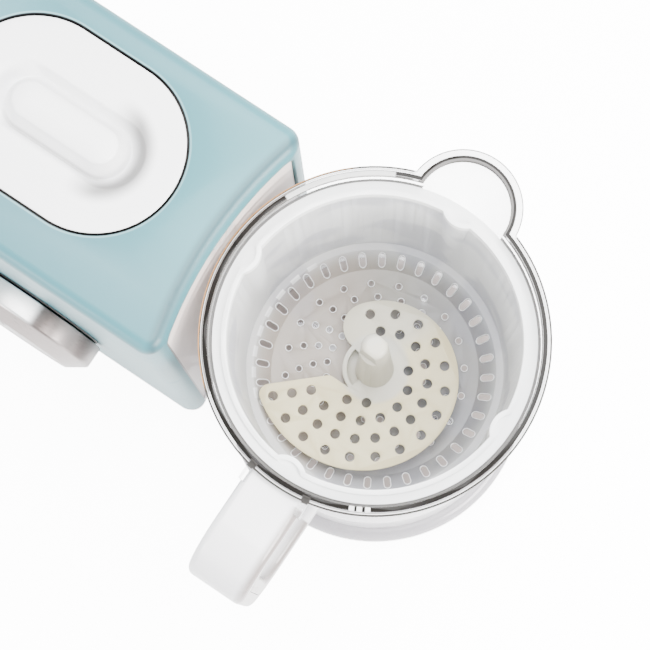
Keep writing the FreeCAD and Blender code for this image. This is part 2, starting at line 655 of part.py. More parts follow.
def motor_end_cap():
    """Lower cap of the motor with the lower bearing's pocket."""
    cap = rod(BOWL_X, BOWL_Y, MOTOR_LOW, MOTOR_CAP_TOP, MOTOR_RADIUS)
    cap = cap.cut(rod(BOWL_X, BOWL_Y, BEARING_LOW_UNDER, MOTOR_CAP_TOP, BEARING_RADIUS))
    foot = rod(BOWL_X + MOTOR_RADIUS - 2 * BOSS_RADIUS, BOWL_Y, TRAY_FLOOR_TOP, MOTOR_LOW, BOSS_RADIUS)
    feet = around(foot, MOTOR_CAP_FEET, BOWL_X, BOWL_Y, 180.0 / MOTOR_CAP_FEET)
    vent = box(BOWL_X + VENT_START, BOWL_X + VENT_START + VENT_LENGTH, BOWL_Y - VENT_WIDTH / 2,
               BOWL_Y + VENT_WIDTH / 2, MOTOR_LOW, MOTOR_CAP_TOP)
    return joined([cap] + feet).cut(around(vent, MOTOR_CAP_FEET, BOWL_X, BOWL_Y))


def motor_magnets():
    """Two curved magnets against the can's wall."""
    sector = Part.makeCylinder(CAN_BORE, CORE_TOP - CORE_UNDER, Vector(BOWL_X, BOWL_Y, CORE_UNDER), UP,
                               MAGNET_ANGLE)
    arc = sector.cut(rod(BOWL_X, BOWL_Y, CORE_UNDER, CORE_TOP, MAGNET_BORE))
    return Part.makeCompound(around(arc, 2, BOWL_X, BOWL_Y, 90 - MAGNET_ANGLE / 2))


def motor_brushes():
    """Two carbon brushes on the end cap, beside the commutator."""
    start = COMMUTATOR_RADIUS + BRUSH_GAP
    brush = box(BOWL_X + start, BOWL_X + start + BRUSH_LENGTH, BOWL_Y - BRUSH_WIDTH / 2,
                BOWL_Y + BRUSH_WIDTH / 2, MOTOR_CAP_TOP, COMMUTATOR_TOP - TURNING_GAP)
    return Part.makeCompound(around(brush, 2, BOWL_X, BOWL_Y))


def bearing(z0):
    """Plain bearing ring of the motor's shaft."""
    return tube(BOWL_X, BOWL_Y, z0, z0 + BEARING_HEIGHT, BEARING_RADIUS,
                MOTOR_SHAFT_RADIUS + RUNNING_CLEARANCE)


def motor_mounts():
    """Rubber bushes between the motor and the drive well."""
    bushes = [tube(place.x, place.y, MOTOR_TOP, WELL_UNDER, MOTOR_MOUNT_RADIUS,
                   SCREW_RADIUS + SCREW_CLEARANCE) for place in motor_mount_places()]
    return Part.makeCompound(bushes)


def motor_screws():
    """Screws that hang the motor under the drive well."""
    screws = []
    for place in motor_mount_places():
        head = rod(place.x, place.y, WELL_TOP, WELL_TOP + SCREW_HEAD_HEIGHT, SCREW_HEAD_RADIUS)
        shank = rod(place.x, place.y, BEARING_HIGH_TOP, WELL_TOP, SCREW_RADIUS)
        screws.append(joined([head, shank]))
    return Part.makeCompound(screws)


def shaft_seal():
    """Rubber seal round the motor shaft in the drive well's floor."""
    bore = MOTOR_SHAFT_RADIUS + RUNNING_CLEARANCE
    plug = tube(BOWL_X, BOWL_Y, WELL_UNDER, WELL_TOP, SHAFT_SEAL_RADIUS, bore)
    lip = tube(BOWL_X, BOWL_Y, WELL_TOP, WELL_TOP + SHAFT_SEAL_LIP, SHAFT_SEAL_RADIUS + SHAFT_SEAL_LIP, bore)
    return joined([plug, lip])


def motor_shaft():
    """Shaft from the lower bearing up into the drive coupler."""
    return rod(BOWL_X, BOWL_Y, BEARING_LOW_UNDER + SEAT_GAP, DRIVE_DISC_TOP + DOG_HEIGHT / 2,
               MOTOR_SHAFT_RADIUS)


def rotor_slot_radius():
    """Radius of the circle that the rotor's slots lie on."""
    return CORE_RADIUS - ROTOR_SLOT_INSET


def rotor_core():
    """Slotted lamination stack on the shaft."""
    core = tube(BOWL_X, BOWL_Y, CORE_UNDER, CORE_TOP, CORE_RADIUS, MOTOR_SHAFT_RADIUS)
    slot = rod(BOWL_X + rotor_slot_radius(), BOWL_Y, CORE_UNDER, CORE_TOP, ROTOR_SLOT_RADIUS)
    mouth = box(BOWL_X + rotor_slot_radius(), BOWL_X + CORE_RADIUS + THROUGH,
                BOWL_Y - ROTOR_SLOT_RADIUS / 3, BOWL_Y + ROTOR_SLOT_RADIUS / 3, CORE_UNDER, CORE_TOP)
    return core.cut(around(slot.fuse(mouth), ROTOR_SLOTS, BOWL_X, BOWL_Y))


def rotor_windings():
    """Copper in the rotor's slots, with its end turns."""
    wire = rod(BOWL_X + rotor_slot_radius(), BOWL_Y, CORE_UNDER - WINDING_HEIGHT,
               CORE_TOP + WINDING_HEIGHT, ROTOR_SLOT_RADIUS - SEAT_GAP)
    outer = rotor_slot_radius() + ROTOR_SLOT_RADIUS
    low = tube(BOWL_X, BOWL_Y, CORE_UNDER - WINDING_HEIGHT, CORE_UNDER, outer, COMMUTATOR_RADIUS)
    high = tube(BOWL_X, BOWL_Y, CORE_TOP, CORE_TOP + WINDING_HEIGHT, outer, COMMUTATOR_RADIUS)
    return joined([low, high] + around(wire, ROTOR_SLOTS, BOWL_X, BOWL_Y))


def cooling_fan():
    """Radial fan on the shaft above the rotor."""
    radius = CAN_BORE - FAN_CLEARANCE
    disc = rod(BOWL_X, BOWL_Y, FAN_UNDER, FAN_UNDER + FAN_DISC, radius)
    hub = rod(BOWL_X, BOWL_Y, FAN_UNDER, FAN_TOP, BEARING_RADIUS)
    blade = box(BOWL_X + BEARING_RADIUS - THROUGH, BOWL_X + radius - THROUGH, BOWL_Y - FAN_DISC / 2,
                BOWL_Y + FAN_DISC / 2, FAN_UNDER, FAN_TOP)
    fan = joined([disc, hub] + around(blade, FAN_BLADES, BOWL_X, BOWL_Y))
    return fan.cut(rod(BOWL_X, BOWL_Y, FAN_UNDER, FAN_TOP, MOTOR_SHAFT_RADIUS))


def dogs(z0, z1, start):
    """Driving dogs of a coupler."""
    sector = Part.makeCylinder(COUPLER_RADIUS, z1 - z0, Vector(BOWL_X, BOWL_Y, z0), UP, DOG_ANGLE)
    dog = sector.cut(rod(BOWL_X, BOWL_Y, z0, z1, DOG_INNER_RADIUS))
    return around(dog, DOG_COUNT, BOWL_X, BOWL_Y, start - DOG_ANGLE / 2)


def drive_coupler():
    """Coupler on the motor's shaft, dogs up."""
    disc = rod(BOWL_X, BOWL_Y, DRIVE_UNDER, DRIVE_DISC_TOP, COUPLER_RADIUS)
    hub = rod(BOWL_X, BOWL_Y, DRIVE_UNDER, DRIVE_DISC_TOP + DOG_HEIGHT, DOG_INNER_RADIUS)
    coupler = joined([disc, hub] + dogs(DRIVE_DISC_TOP, DRIVE_DISC_TOP + DOG_HEIGHT, 0))
    return coupler.cut(rod(BOWL_X, BOWL_Y, DRIVE_UNDER, DRIVE_DISC_TOP + DOG_HEIGHT / 2, MOTOR_SHAFT_RADIUS))


def blade_coupler():
    """Coupler on the blade's shaft, dogs down between the motor's dogs."""
    disc = tube(BOWL_X, BOWL_Y, BLADE_DISC_UNDER, BLADE_DISC_TOP, COUPLER_RADIUS, BLADE_SHAFT_RADIUS)
    hanging = [dog.cut(rod(BOWL_X, BOWL_Y, DRIVE_DISC_TOP, BLADE_DISC_UNDER,
                           DOG_INNER_RADIUS + TURNING_GAP))
               for dog in dogs(DRIVE_DISC_TOP + DOG_END_GAP, BLADE_DISC_UNDER, 180.0 / DOG_COUNT)]
    return joined([disc] + hanging)


def wall_radius(z):
    """Outer radius of the bowl's tapered wall at a height."""
    share = (z - BOWL_BOTTOM) / (BOWL_LEDGE - BOWL_BOTTOM)
    return BOWL_FOOT_RADIUS + share * (BOWL_THROAT_RADIUS + BOWL_WALL - BOWL_FOOT_RADIUS)


def bowl_outline(grow):
    """Corners of the bowl's outside, from its foot to its rim, grown outwards."""
    lip = BOWL_MOUTH_RADIUS + BOWL_WALL + grow
    flange_under = BOWL_TOP - BOWL_RIM_HEIGHT - grow
    shoulder = BOWL_LEDGE - BOWL_LEDGE_WIDTH
    rim = BOWL_RIM_RADIUS + grow
    step_radius = BOWL_RIM_RADIUS - BOWL_RIM_WIDTH / 2 + grow
    return [(BOWL_FOOT_RADIUS + grow, BOWL_BOTTOM), (wall_radius(shoulder) + grow, shoulder),
            (lip, BOWL_LEDGE), (lip, flange_under), (rim, flange_under),
            (rim, BOWL_TOP - BOWL_RIM_STEP + grow), (step_radius, BOWL_TOP - BOWL_RIM_STEP + grow),
            (step_radius, BOWL_TOP + grow)]


def bowl():
    """Clear bowl with a stepped rim, a basket ledge, a pouring spout and two handle tabs."""
    inside = [(BOWL_MOUTH_RADIUS, BOWL_TOP), (BOWL_MOUTH_RADIUS, BOWL_LEDGE),
              (BOWL_THROAT_RADIUS, BOWL_LEDGE), (BOWL_FOOT_RADIUS - BOWL_WALL, BOWL_FLOOR_TOP),
              (0, BOWL_FLOOR_TOP), (0, BOWL_FLOOR_UNDER), (BOWL_SKIRT_BORE, BOWL_FLOOR_UNDER),
              (BOWL_SKIRT_BORE, BOWL_BOTTOM)]
    vessel = turned(BOWL_X, BOWL_Y, bowl_outline(0) + inside)
    spout_y = BOWL_Y + SPOUT_OFFSET
    spout_low = BOWL_TOP - SPOUT_DEPTH
    mouth = turned(BOWL_X, spout_y, [(0, spout_low), (SPOUT_FOOT_RADIUS, spout_low),
                                     (SPOUT_RADIUS, BOWL_LEDGE), (SPOUT_RADIUS, BOWL_TOP), (0, BOWL_TOP)])
    outer = SPOUT_RADIUS + SPOUT_WALL
    flange = SPOUT_RADIUS + SPOUT_FLANGE
    flange_under = BOWL_TOP - BOWL_RIM_HEIGHT
    lobe = turned(BOWL_X, spout_y, [(0, spout_low - SPOUT_WALL), (SPOUT_FOOT_RADIUS, spout_low - SPOUT_WALL),
                                    (outer, BOWL_LEDGE), (outer, flange_under), (flange, flange_under),
                                    (flange, BOWL_TOP - BOWL_RIM_STEP), (outer, BOWL_TOP - BOWL_RIM_STEP),
                                    (outer, BOWL_TOP), (0, BOWL_TOP)])
    hollow = turned(BOWL_X, BOWL_Y, [(0, BOWL_FLOOR_TOP), (BOWL_FOOT_RADIUS - BOWL_WALL, BOWL_FLOOR_TOP),
                                     (BOWL_THROAT_RADIUS, BOWL_LEDGE), (BOWL_MOUTH_RADIUS, BOWL_LEDGE),
                                     (BOWL_MOUTH_RADIUS, BOWL_TOP), (0, BOWL_TOP)])
    collar = rod(BOWL_X, BOWL_Y, BOWL_FLOOR_UNDER, COLLAR_TOP, BOWL_COLLAR_RADIUS)
    vessel = joined([vessel, lobe.cut(hollow), collar] + handle_tabs(0))
    bush_hole = rod(BOWL_X, BOWL_Y, BOWL_FLOOR_UNDER, COLLAR_TOP, BLADE_BUSH_RADIUS)
    return vessel.cut(mouth).cut(bush_hole)


def handle_tabs(grow):
    """Two tabs at the bowl's rim that the handle's top arm is hung between."""
    top = BOWL_TOP - BOWL_RIM_STEP
    y1 = BOWL_Y - BOWL_MOUTH_RADIUS - BOWL_WALL / 2
    y0 = BOWL_Y - BOWL_RIM_RADIUS - TAB_REACH
    tabs = []
    for side in (-1, 1):
        middle = BOWL_X + side * TAB_SPACING / 2
        tabs.append(box(middle - TAB_WALL / 2 - grow, middle + TAB_WALL / 2 + grow, y0 - grow, y1 + grow,
                        top - TAB_HEIGHT - grow, top + grow))
    return tabs


def handle_band(start, stop):
    """Side view band of the handle between two depths below its outer line, across its width."""
    reach = BOWL_RIM_RADIUS + HANDLE_REACH
    top = BOWL_TOP - HANDLE_TOP_DROP
    low = BOWL_BOTTOM + HANDLE_LOW
    turn = math.sqrt(0.5)
    x = BOWL_X - HANDLE_WIDTH / 2

    def point(out, z):
        return Vector(x, BOWL_Y - out, z)

    def line_of(depth):
        bend = HANDLE_BEND - depth
        corner = reach - HANDLE_BEND
        upper = top - HANDLE_BEND
        lower = low + HANDLE_BEND
        inner = BOWL_FOOT_RADIUS - BOWL_WALL
        return [Part.LineSegment(point(inner, top - depth), point(corner, top - depth)),
                Part.Arc(point(corner, top - depth), point(corner + bend * turn, upper + bend * turn),
                         point(reach - depth, upper)),
                Part.LineSegment(point(reach - depth, upper), point(reach - depth, lower)),
                Part.Arc(point(reach - depth, lower), point(corner + bend * turn, lower - bend * turn),
                         point(corner, low + depth)),
                Part.LineSegment(point(corner, low + depth), point(inner, low + depth))]

    inner_end = BOWL_FOOT_RADIUS - BOWL_WALL
    caps = [Part.LineSegment(point(inner_end, top - start), point(inner_end, top - stop)),
            Part.LineSegment(point(inner_end, low + start), point(inner_end, low + stop))]
    edges = [curve.toShape() for curve in line_of(start) + line_of(stop) + caps]
    face = Part.Face(Part.Wire(Part.__sortEdges__(edges)))
    return face.extrude(Vector(HANDLE_WIDTH, 0, 0))


def handle_half(start, stop, rounded_depth):
    """One half of the two-part handle, rounded along one side and trimmed to the bowl."""
    band = handle_band(start, stop)
    reach = BOWL_RIM_RADIUS + HANDLE_REACH - rounded_depth
    side_x = (BOWL_X - HANDLE_WIDTH / 2, BOWL_X + HANDLE_WIDTH / 2)
    seeds = []
    for edge in band.Edges:
        bounds = edge.BoundBox
        on_side = bounds.XLength < 1e-6 and min(abs(bounds.XMin - side) for side in side_x) < 1e-6
        straight_grip = bounds.YLength < 1e-6 and abs(bounds.YMin - BOWL_Y + reach) < 1e-6
        if on_side and straight_grip:
            seeds.append(edge)
    half = band.makeFillet(min(HANDLE_ROUND, (stop - start) / 2), seeds)
    profile = bowl_outline(SEAT_GAP)
    envelope = turned(BOWL_X, BOWL_Y, profile + [(0, profile[-1][1]), (0, profile[0][1])])
    return half.cut(envelope).cut(handle_tabs(SEAT_GAP))


def handle_screw_heights():
    """Heights of the two screws through the handle's grip."""
    return (BOWL_TOP - HANDLE_TOP_DROP - HANDLE_BEND - HANDLE_SCREW_OFFSET,
            BOWL_BOTTOM + HANDLE_LOW + HANDLE_BEND + HANDLE_SCREW_OFFSET)


def handle_grip_face():
    """Y of the handle's side that faces the bowl."""
    return BOWL_Y - BOWL_RIM_RADIUS - HANDLE_REACH + HANDLE_THICKNESS


def handle_outer():
    """Outer half of the handle."""
    half = handle_half(0, HANDLE_THICKNESS / 2, 0)
    face = handle_grip_face() - SCREW_HEAD_HEIGHT
    holes = [rod_y(BOWL_X, face - HANDLE_SCREW_LENGTH, face, z, SCREW_RADIUS)
             for z in handle_screw_heights()]
    return half.cut(holes)


def handle_inner():
    """Inner half of the handle, with counterbored screw holes."""
    half = handle_half(HANDLE_THICKNESS / 2 + HANDLE_SEAM, HANDLE_THICKNESS, HANDLE_THICKNESS)
    face = handle_grip_face()
    holes = []
    for z in handle_screw_heights():
        holes.append(rod_y(BOWL_X, face - HANDLE_THICKNESS, face, z, SCREW_RADIUS + SCREW_CLEARANCE))
        holes.append(rod_y(BOWL_X, face - SCREW_HEAD_HEIGHT, face + THROUGH, z,
                           SCREW_HEAD_RADIUS + SCREW_CLEARANCE))
    return half.cut(holes)


def handle_screws():
    """Two screws through the grip's inner half."""
    face = handle_grip_face()
    screws = []
    for z in handle_screw_heights():
        head = rod_y(BOWL_X, face - SCREW_HEAD_HEIGHT, face, z, SCREW_HEAD_RADIUS)
        shank = rod_y(BOWL_X, face - SCREW_HEAD_HEIGHT - HANDLE_SCREW_LENGTH, face - SCREW_HEAD_HEIGHT, z,
                      SCREW_RADIUS)
        screws.append(joined([head, shank]))
    return Part.makeCompound(screws)


def blade_bush():
    """Plain bush of the blade's shaft in the bowl's collar."""
    return tube(BOWL_X, BOWL_Y, BOWL_FLOOR_UNDER, COLLAR_TOP - BLADE_SEAL_HEIGHT, BLADE_BUSH_RADIUS,
                BLADE_SHAFT_RADIUS + RUNNING_CLEARANCE)


def blade_seal():
    """Lip seal over the bush."""
    return tube(BOWL_X, BOWL_Y, COLLAR_TOP - BLADE_SEAL_HEIGHT, COLLAR_TOP, BLADE_BUSH_RADIUS,
                BLADE_SHAFT_RADIUS + RUNNING_CLEARANCE)


def blade_shaft():
    """Shaft from the blade's coupler up into its hub."""
    return rod(BOWL_X, BOWL_Y, BLADE_DISC_UNDER, BLADE_HUB_TOP - BLADE_WALL, BLADE_SHAFT_RADIUS)


def blade_hub():
    """Moulded hub that caps the bowl's collar."""
    hub = rod(BOWL_X, BOWL_Y, BLADE_HUB_UNDER, BLADE_HUB_TOP, BLADE_HUB_RADIUS)
    hub = hub.makeFillet(BLADE_WALL, level_edges(hub, BLADE_HUB_TOP))
    cap_room = rod(BOWL_X, BOWL_Y, BLADE_HUB_UNDER, COLLAR_TOP + TURNING_GAP,
                   BOWL_COLLAR_RADIUS + TURNING_GAP)
    return hub.cut(cap_room).cut(rod(BOWL_X, BOWL_Y, COLLAR_TOP, BLADE_HUB_TOP - BLADE_WALL,
                                     BLADE_SHAFT_RADIUS))


def blade_pair(z0, start):
    """Two swept arms on a ring round the hub."""
    root = BOWL_X + BLADE_HUB_RADIUS + THROUGH
    tip = BOWL_X + BLADE_RADIUS
    middle = (root + tip) / 2
    front = Part.Arc(Vector(root, BOWL_Y - BLADE_ROOT, z0), Vector(middle, BOWL_Y - BLADE_ROOT, z0),
                     Vector(tip, BOWL_Y + BLADE_ROOT, z0))
    back = Part.Arc(Vector(tip, BOWL_Y + BLADE_ROOT, z0), Vector(middle, BOWL_Y + BLADE_ROOT / 2, z0),
                    Vector(root, BOWL_Y + BLADE_ROOT, z0))
    close = Part.LineSegment(Vector(root, BOWL_Y + BLADE_ROOT, z0), Vector(root, BOWL_Y - BLADE_ROOT, z0))
    wire = Part.Wire([front.toShape(), back.toShape(), close.toShape()])
    arm = Part.Face(wire).extrude(Vector(0, 0, BLADE_WALL))
    ring = rod(BOWL_X, BOWL_Y, z0, z0 + BLADE_WALL, BLADE_HUB_RADIUS + BLADE_RING_WALL)
    pair = joined([ring] + around(arm, 2, BOWL_X, BOWL_Y, start))
    return pair.cut(rod(BOWL_X, BOWL_Y, z0, z0 + BLADE_WALL, BLADE_HUB_RADIUS))


def cutting_blades():
    """Two crossed pairs of steel blades."""
    low = blade_pair(BLADE_HUB_UNDER + BLADE_LOW_GAP, 0)
    high = blade_pair(BLADE_HUB_TOP - BLADE_HIGH_GAP - BLADE_WALL, 90)
    return Part.makeCompound([low, high])


def flute_cylinders(radius, z0, z1):
    """Upright cylinders that press the basket's wall inwards."""
    middle = BASKET_MOUTH_RADIUS - FLUTE_REACH + BASKET_WALL + FLUTE_RADIUS
    return around(rod(BOWL_X + middle, BOWL_Y, z0, z1, radius), FLUTE_COUNT, BOWL_X, BOWL_Y)


def steam_basket():
    """Basket hung on the bowl's ledge, with fluted wall, slotted cone and drained floor."""
    wall = BASKET_WALL
    flange = BOWL_MOUTH_RADIUS - BASKET_FLANGE_INSET
    step = BASKET_STEP_TOP
    body = turned(BOWL_X, BOWL_Y, [
        (0, BASKET_UNDER), (BASKET_CONE_FOOT + wall / 2, BASKET_UNDER),
        (BASKET_CONE_TOP + wall / 2, step - wall), (BASKET_FOOT_RADIUS + wall, step - wall),
        (BASKET_MOUTH_RADIUS + wall, BASKET_FLANGE_UNDER), (flange, BASKET_FLANGE_UNDER),
        (flange, BASKET_FLANGE_TOP), (BASKET_MOUTH_RADIUS + wall, BASKET_FLANGE_TOP),
        (BASKET_MOUTH_RADIUS + wall, BASKET_TOP), (BASKET_MOUTH_RADIUS, BASKET_TOP),
        (BASKET_FOOT_RADIUS, step), (BASKET_CONE_TOP, step),
        (BASKET_CONE_FOOT, BASKET_FLOOR_TOP), (0, BASKET_FLOOR_TOP)])
    within = turned(BOWL_X, BOWL_Y, [(0, step - wall), (BASKET_FOOT_RADIUS + wall / 2, step - wall),
                                     (BASKET_MOUTH_RADIUS + wall / 2, BASKET_TOP), (0, BASKET_TOP)])
    ribs = [rib.common(within) for rib in flute_cylinders(FLUTE_RADIUS + wall, step - wall, BASKET_TOP)]
    body = joined([body] + ribs)
    body = body.cut(flute_cylinders(FLUTE_RADIUS, step, BASKET_FLANGE_UNDER))
    body = body.cut(flute_cylinders(FLUTE_RADIUS, BASKET_FLANGE_TOP, BASKET_TOP + THROUGH))
    slot_start = BASKET_CONE_FOOT + (BASKET_CONE_WIDTH - SLOT_LENGTH) / 2
    near = BOWL_X + slot_start + SLOT_WIDTH / 2
    far = BOWL_X + slot_start + SLOT_LENGTH - SLOT_WIDTH / 2
    slot = joined([box(near, far, BOWL_Y - SLOT_WIDTH / 2, BOWL_Y + SLOT_WIDTH / 2,
                       BASKET_UNDER - THROUGH, step + THROUGH),
                   rod(near, BOWL_Y, BASKET_UNDER - THROUGH, step + THROUGH, SLOT_WIDTH / 2),
                   rod(far, BOWL_Y, BASKET_UNDER - THROUGH, step + THROUGH, SLOT_WIDTH / 2)])
    cuts = around(slot, SLOT_COUNT, BOWL_X, BOWL_Y)
    for ring in range(DRAIN_RINGS):
        radius = BASKET_CONE_FOOT - DRAIN_EDGE - ring * DRAIN_STEP
        hole = rod(BOWL_X + radius, BOWL_Y, BASKET_UNDER - THROUGH, BASKET_FLOOR_TOP + THROUGH, DRAIN_RADIUS)
        cuts += around(hole, DRAIN_PER_RING, BOWL_X, BOWL_Y, ring * DRAIN_SWIRL)
    return body.cut(Part.makeCompound(cuts))


def plate_edge_radius(degrees):
    """Outer radius of the spiral plate at an angle, growing from its start to its end."""
    share = (PLATE_START - degrees) / (PLATE_START - PLATE_END)
    return PLATE_INNER_RADIUS + (PLATE_OUTER_RADIUS - PLATE_INNER_RADIUS) * share ** PLATE_GROWTH


def plate_holes():
    """Holes in rows that follow the plate's spiral edge, the outermost row with the widest pitch."""
    holes = []
    depth = PLATE_HOLE_EDGE
    pitch = PLATE_OUTER_PITCH
    inner_limit = PLATE_HUB_RADIUS + PLATE_HOLE_RADIUS + SEAT_GAP
    slit_limit = PLATE_COLLAR_RADIUS + PLATE_SLIT_WIDTH + 2 * PLATE_HOLE_RADIUS
    while depth < PLATE_OUTER_RADIUS - inner_limit:
        degrees = PLATE_END + math.degrees(PLATE_HOLE_EDGE / (PLATE_OUTER_RADIUS - depth))
        radius = plate_edge_radius(degrees) - depth
        if radius < slit_limit:
            degrees = PLATE_END + PLATE_SLIT_ANGLE + PLATE_COLLAR_LAP_ANGLE
            radius = plate_edge_radius(degrees) - depth
        while radius > inner_limit and math.radians(PLATE_START - degrees) * radius > PLATE_START_ROUND:
            place = polar(BOWL_X, BOWL_Y, radius, degrees)
            holes.append(rod(place.x, place.y, PLATE_UNDER - THROUGH, PLATE_TOP + THROUGH, PLATE_HOLE_RADIUS))
            degrees += math.degrees(pitch / radius)
            radius = plate_edge_radius(degrees) - depth
        depth += PLATE_HOLE_ROW
        pitch = PLATE_HOLE_PITCH
    return holes


def strainer_plate():
    """Spiral perforated plate on a hub that stands on the basket's floor, with a lifting post."""
    sweep = PLATE_START - PLATE_END
    angles = [PLATE_START - sweep * index / (PLATE_POINTS - 1) for index in range(PLATE_POINTS)]
    points = [polar(BOWL_X, BOWL_Y, plate_edge_radius(degrees), degrees, PLATE_UNDER) for degrees in angles]
    edge = Part.BSplineCurve()
    edge.interpolate(points)
    centre = Vector(BOWL_X, BOWL_Y, PLATE_UNDER)
    sides = [Part.LineSegment(points[-1], centre), Part.LineSegment(centre, points[0])]
    wire = Part.Wire([edge.toShape(), sides[0].toShape(), sides[1].toShape()])
    spiral = Part.Face(wire).extrude(Vector(0, 0, PLATE_WALL))
    slit_tip = polar(BOWL_X, BOWL_Y, PLATE_COLLAR_RADIUS, PLATE_END + PLATE_SLIT_ANGLE, PLATE_UNDER)
    slit_corner = polar(BOWL_X, BOWL_Y, PLATE_COLLAR_RADIUS + PLATE_SLIT_WIDTH, PLATE_END, PLATE_UNDER)
    beyond = slit_corner + slit_corner - slit_tip
    slit = Part.Face(Part.makePolygon([centre, slit_tip, beyond, centre]))
    spiral = spiral.cut(slit.extrude(Vector(0, 0, PLATE_WALL)))
    rounds = ((points[0], PLATE_START_ROUND), (points[-1], PLATE_END_ROUND), (slit_corner, PLATE_SLIT_ROUND))
    for place, radius in rounds:
        corner = [side for side in upright_edges(spiral)
                  if math.hypot(side.CenterOfMass.x - place.x, side.CenterOfMass.y - place.y) < SEAT_GAP]
        spiral = spiral.makeFillet(radius, corner)
    spiral = spiral.cut(plate_holes())
    low = BASKET_FLOOR_TOP + SEAT_GAP
    core = rod(BOWL_X, BOWL_Y, low, PLATE_TOP, PLATE_HUB_RADIUS)
    collar = open_sector(PLATE_COLLAR_RADIUS, low, PLATE_TOP, PLATE_COLLAR_LAP_ANGLE)
    trough = open_sector(PLATE_COLLAR_RADIUS - PLATE_COLLAR_WALL, PLATE_TOP - PLATE_TROUGH_DEPTH,
                         PLATE_TOP + THROUGH, 0)
    trough = trough.cut(rod(BOWL_X, BOWL_Y, low, PLATE_TOP + THROUGH, POST_FOOT_RADIUS))
    return joined([spiral, joined([core, collar]).cut(trough), lifting_post()])


def open_sector(radius, z0, z1, lap):
    """Sector about the post where the plate and its slit leave the hub open, with a lap at both ends."""
    sweep = PLATE_END + 360 + PLATE_SLIT_ANGLE - PLATE_START
    sector = Part.makeCylinder(radius, z1 - z0, Vector(BOWL_X, BOWL_Y, z0), UP, sweep + 2 * lap)
    sector.rotate(Vector(BOWL_X, BOWL_Y, 0), UP, PLATE_START - lap)
    return sector


def lifting_post():
    """Tapered post with a rounded tip and two flats to hold it by."""
    post = Part.makeCone(POST_FOOT_RADIUS, POST_TIP_RADIUS, POST_TOP - PLATE_TOP,
                         Vector(BOWL_X, BOWL_Y, PLATE_TOP))
    post = post.makeFillet(POST_TIP_ROUND, level_edges(post, POST_TOP))
    flat = box(BOWL_X - POST_FOOT_RADIUS, BOWL_X + POST_FOOT_RADIUS, BOWL_Y + POST_FLAT_WIDTH / 2,
               BOWL_Y + POST_FOOT_RADIUS, POST_TOP - POST_FLAT_HEIGHT, POST_TOP + THROUGH)
    return post.cut(around(flat, 2, BOWL_X, BOWL_Y, POST_FLAT_ANGLE))


def tank_lid():
    """Lid of the water tank: a flush plate over a plug, with a grip in a dish."""
    plate = stadium(LID_END, TANK_TOP, TOWER_HEIGHT)
    plug = stadium(LID_END - LID_PLUG_INSET, TANK_TOP - LID_PLUG_DEPTH, TOWER_HEIGHT)
    groove = stadium(LID_END, TANK_TOP - LID_PLUG_DEPTH / 2 - LID_SEAL_HEIGHT / 2,
                     TANK_TOP - LID_PLUG_DEPTH / 2 + LID_SEAL_HEIGHT / 2)
    groove = groove.cut(stadium(LID_END - LID_PLUG_INSET - LID_SEAL_HEIGHT / 2, TANK_TOP - LID_PLUG_DEPTH,
                                TANK_TOP))
    stretch = FreeCAD.Matrix()
    stretch.scale(LID_DISH_LENGTH / 2, LID_DISH_WIDTH / 2, LID_DISH_DEPTH)
    dish = Part.makeSphere(1.0).transformGeometry(stretch)
    dish.translate(Vector(TOWER_X, LID_Y, TOWER_HEIGHT))
    body = joined([plate, plug]).cut(groove).cut(dish)
    return joined([body, lid_grip()])


def lid_grip():
    """Loaf-shaped grip with sloped sides."""
    def outline(inset, z):
        x0 = TOWER_X - GRIP_LENGTH / 2 + inset
        x1 = TOWER_X + GRIP_LENGTH / 2 - inset
        y0 = LID_Y - GRIP_WIDTH / 2 + inset
        y1 = LID_Y + GRIP_WIDTH / 2 - inset
        corners = [Vector(x0, y0, z), Vector(x1, y0, z), Vector(x1, y1, z), Vector(x0, y1, z)]
        return Part.makePolygon(corners + [corners[0]])

    low = TOWER_HEIGHT - LID_DISH_DEPTH
    high = TOWER_HEIGHT + GRIP_RISE
    loaf = Part.makeLoft([outline(0, low), outline(GRIP_TAPER, high)], True, True)
    slanted = [edge for edge in loaf.Edges if edge.BoundBox.ZLength > THROUGH]
    loaf = loaf.makeFillet(GRIP_CORNER, slanted)
    return loaf.makeFillet(GRIP_ROUND, level_edges(loaf, high))


def lid_seal():
    """Silicone ring in the plug's groove."""
    middle = TANK_TOP - LID_PLUG_DEPTH / 2
    low = middle - LID_SEAL_HEIGHT / 2
    high = middle + LID_SEAL_HEIGHT / 2
    inner = LID_END - LID_PLUG_INSET - LID_SEAL_HEIGHT / 2
    return stadium(LID_END - LID_PLUG_INSET, low, high).cut(stadium(inner, low, high))


def boiler_tank():
    """Water tank of the boiler, flanged under the tower's top, with the steam outlet in its wall."""
    cup = stadium(TANK_END + TANK_WALL, TANK_FLOOR - TANK_WALL, TANK_TOP)
    flange = stadium(LID_END + LID_GAP + TANK_FLANGE, TANK_TOP - TANK_FLANGE_WALL, TANK_TOP)
    tank = joined([cup, flange]).cut(stadium(TANK_END, TANK_FLOOR, TANK_TOP))
    outlet = rod_x(TOWER_X, TOWER_X1, BOWL_Y, STEAM_HEIGHT, STEAM_BORE)
    return tank.cut(outlet)


def heater_plate():
    """Heating plate under the tank."""
    return stadium(TANK_END + TANK_WALL - HEATER_INSET, HEATER_UNDER, TANK_FLOOR - TANK_WALL)


def heating_element():
    """Ring-shaped heating element against the plate's underside."""
    ring = Part.makeTorus(ELEMENT_RING_RADIUS, ELEMENT_RADIUS,
                          Vector(TOWER_X, LID_Y, HEATER_UNDER - ELEMENT_RADIUS - SEAT_GAP))
    return ring


def thermostat():
    """Thermostat in the middle of the heating plate."""
    return rod(TOWER_X, LID_Y, HEATER_UNDER - THERMOSTAT_HEIGHT, HEATER_UNDER, THERMOSTAT_RADIUS)


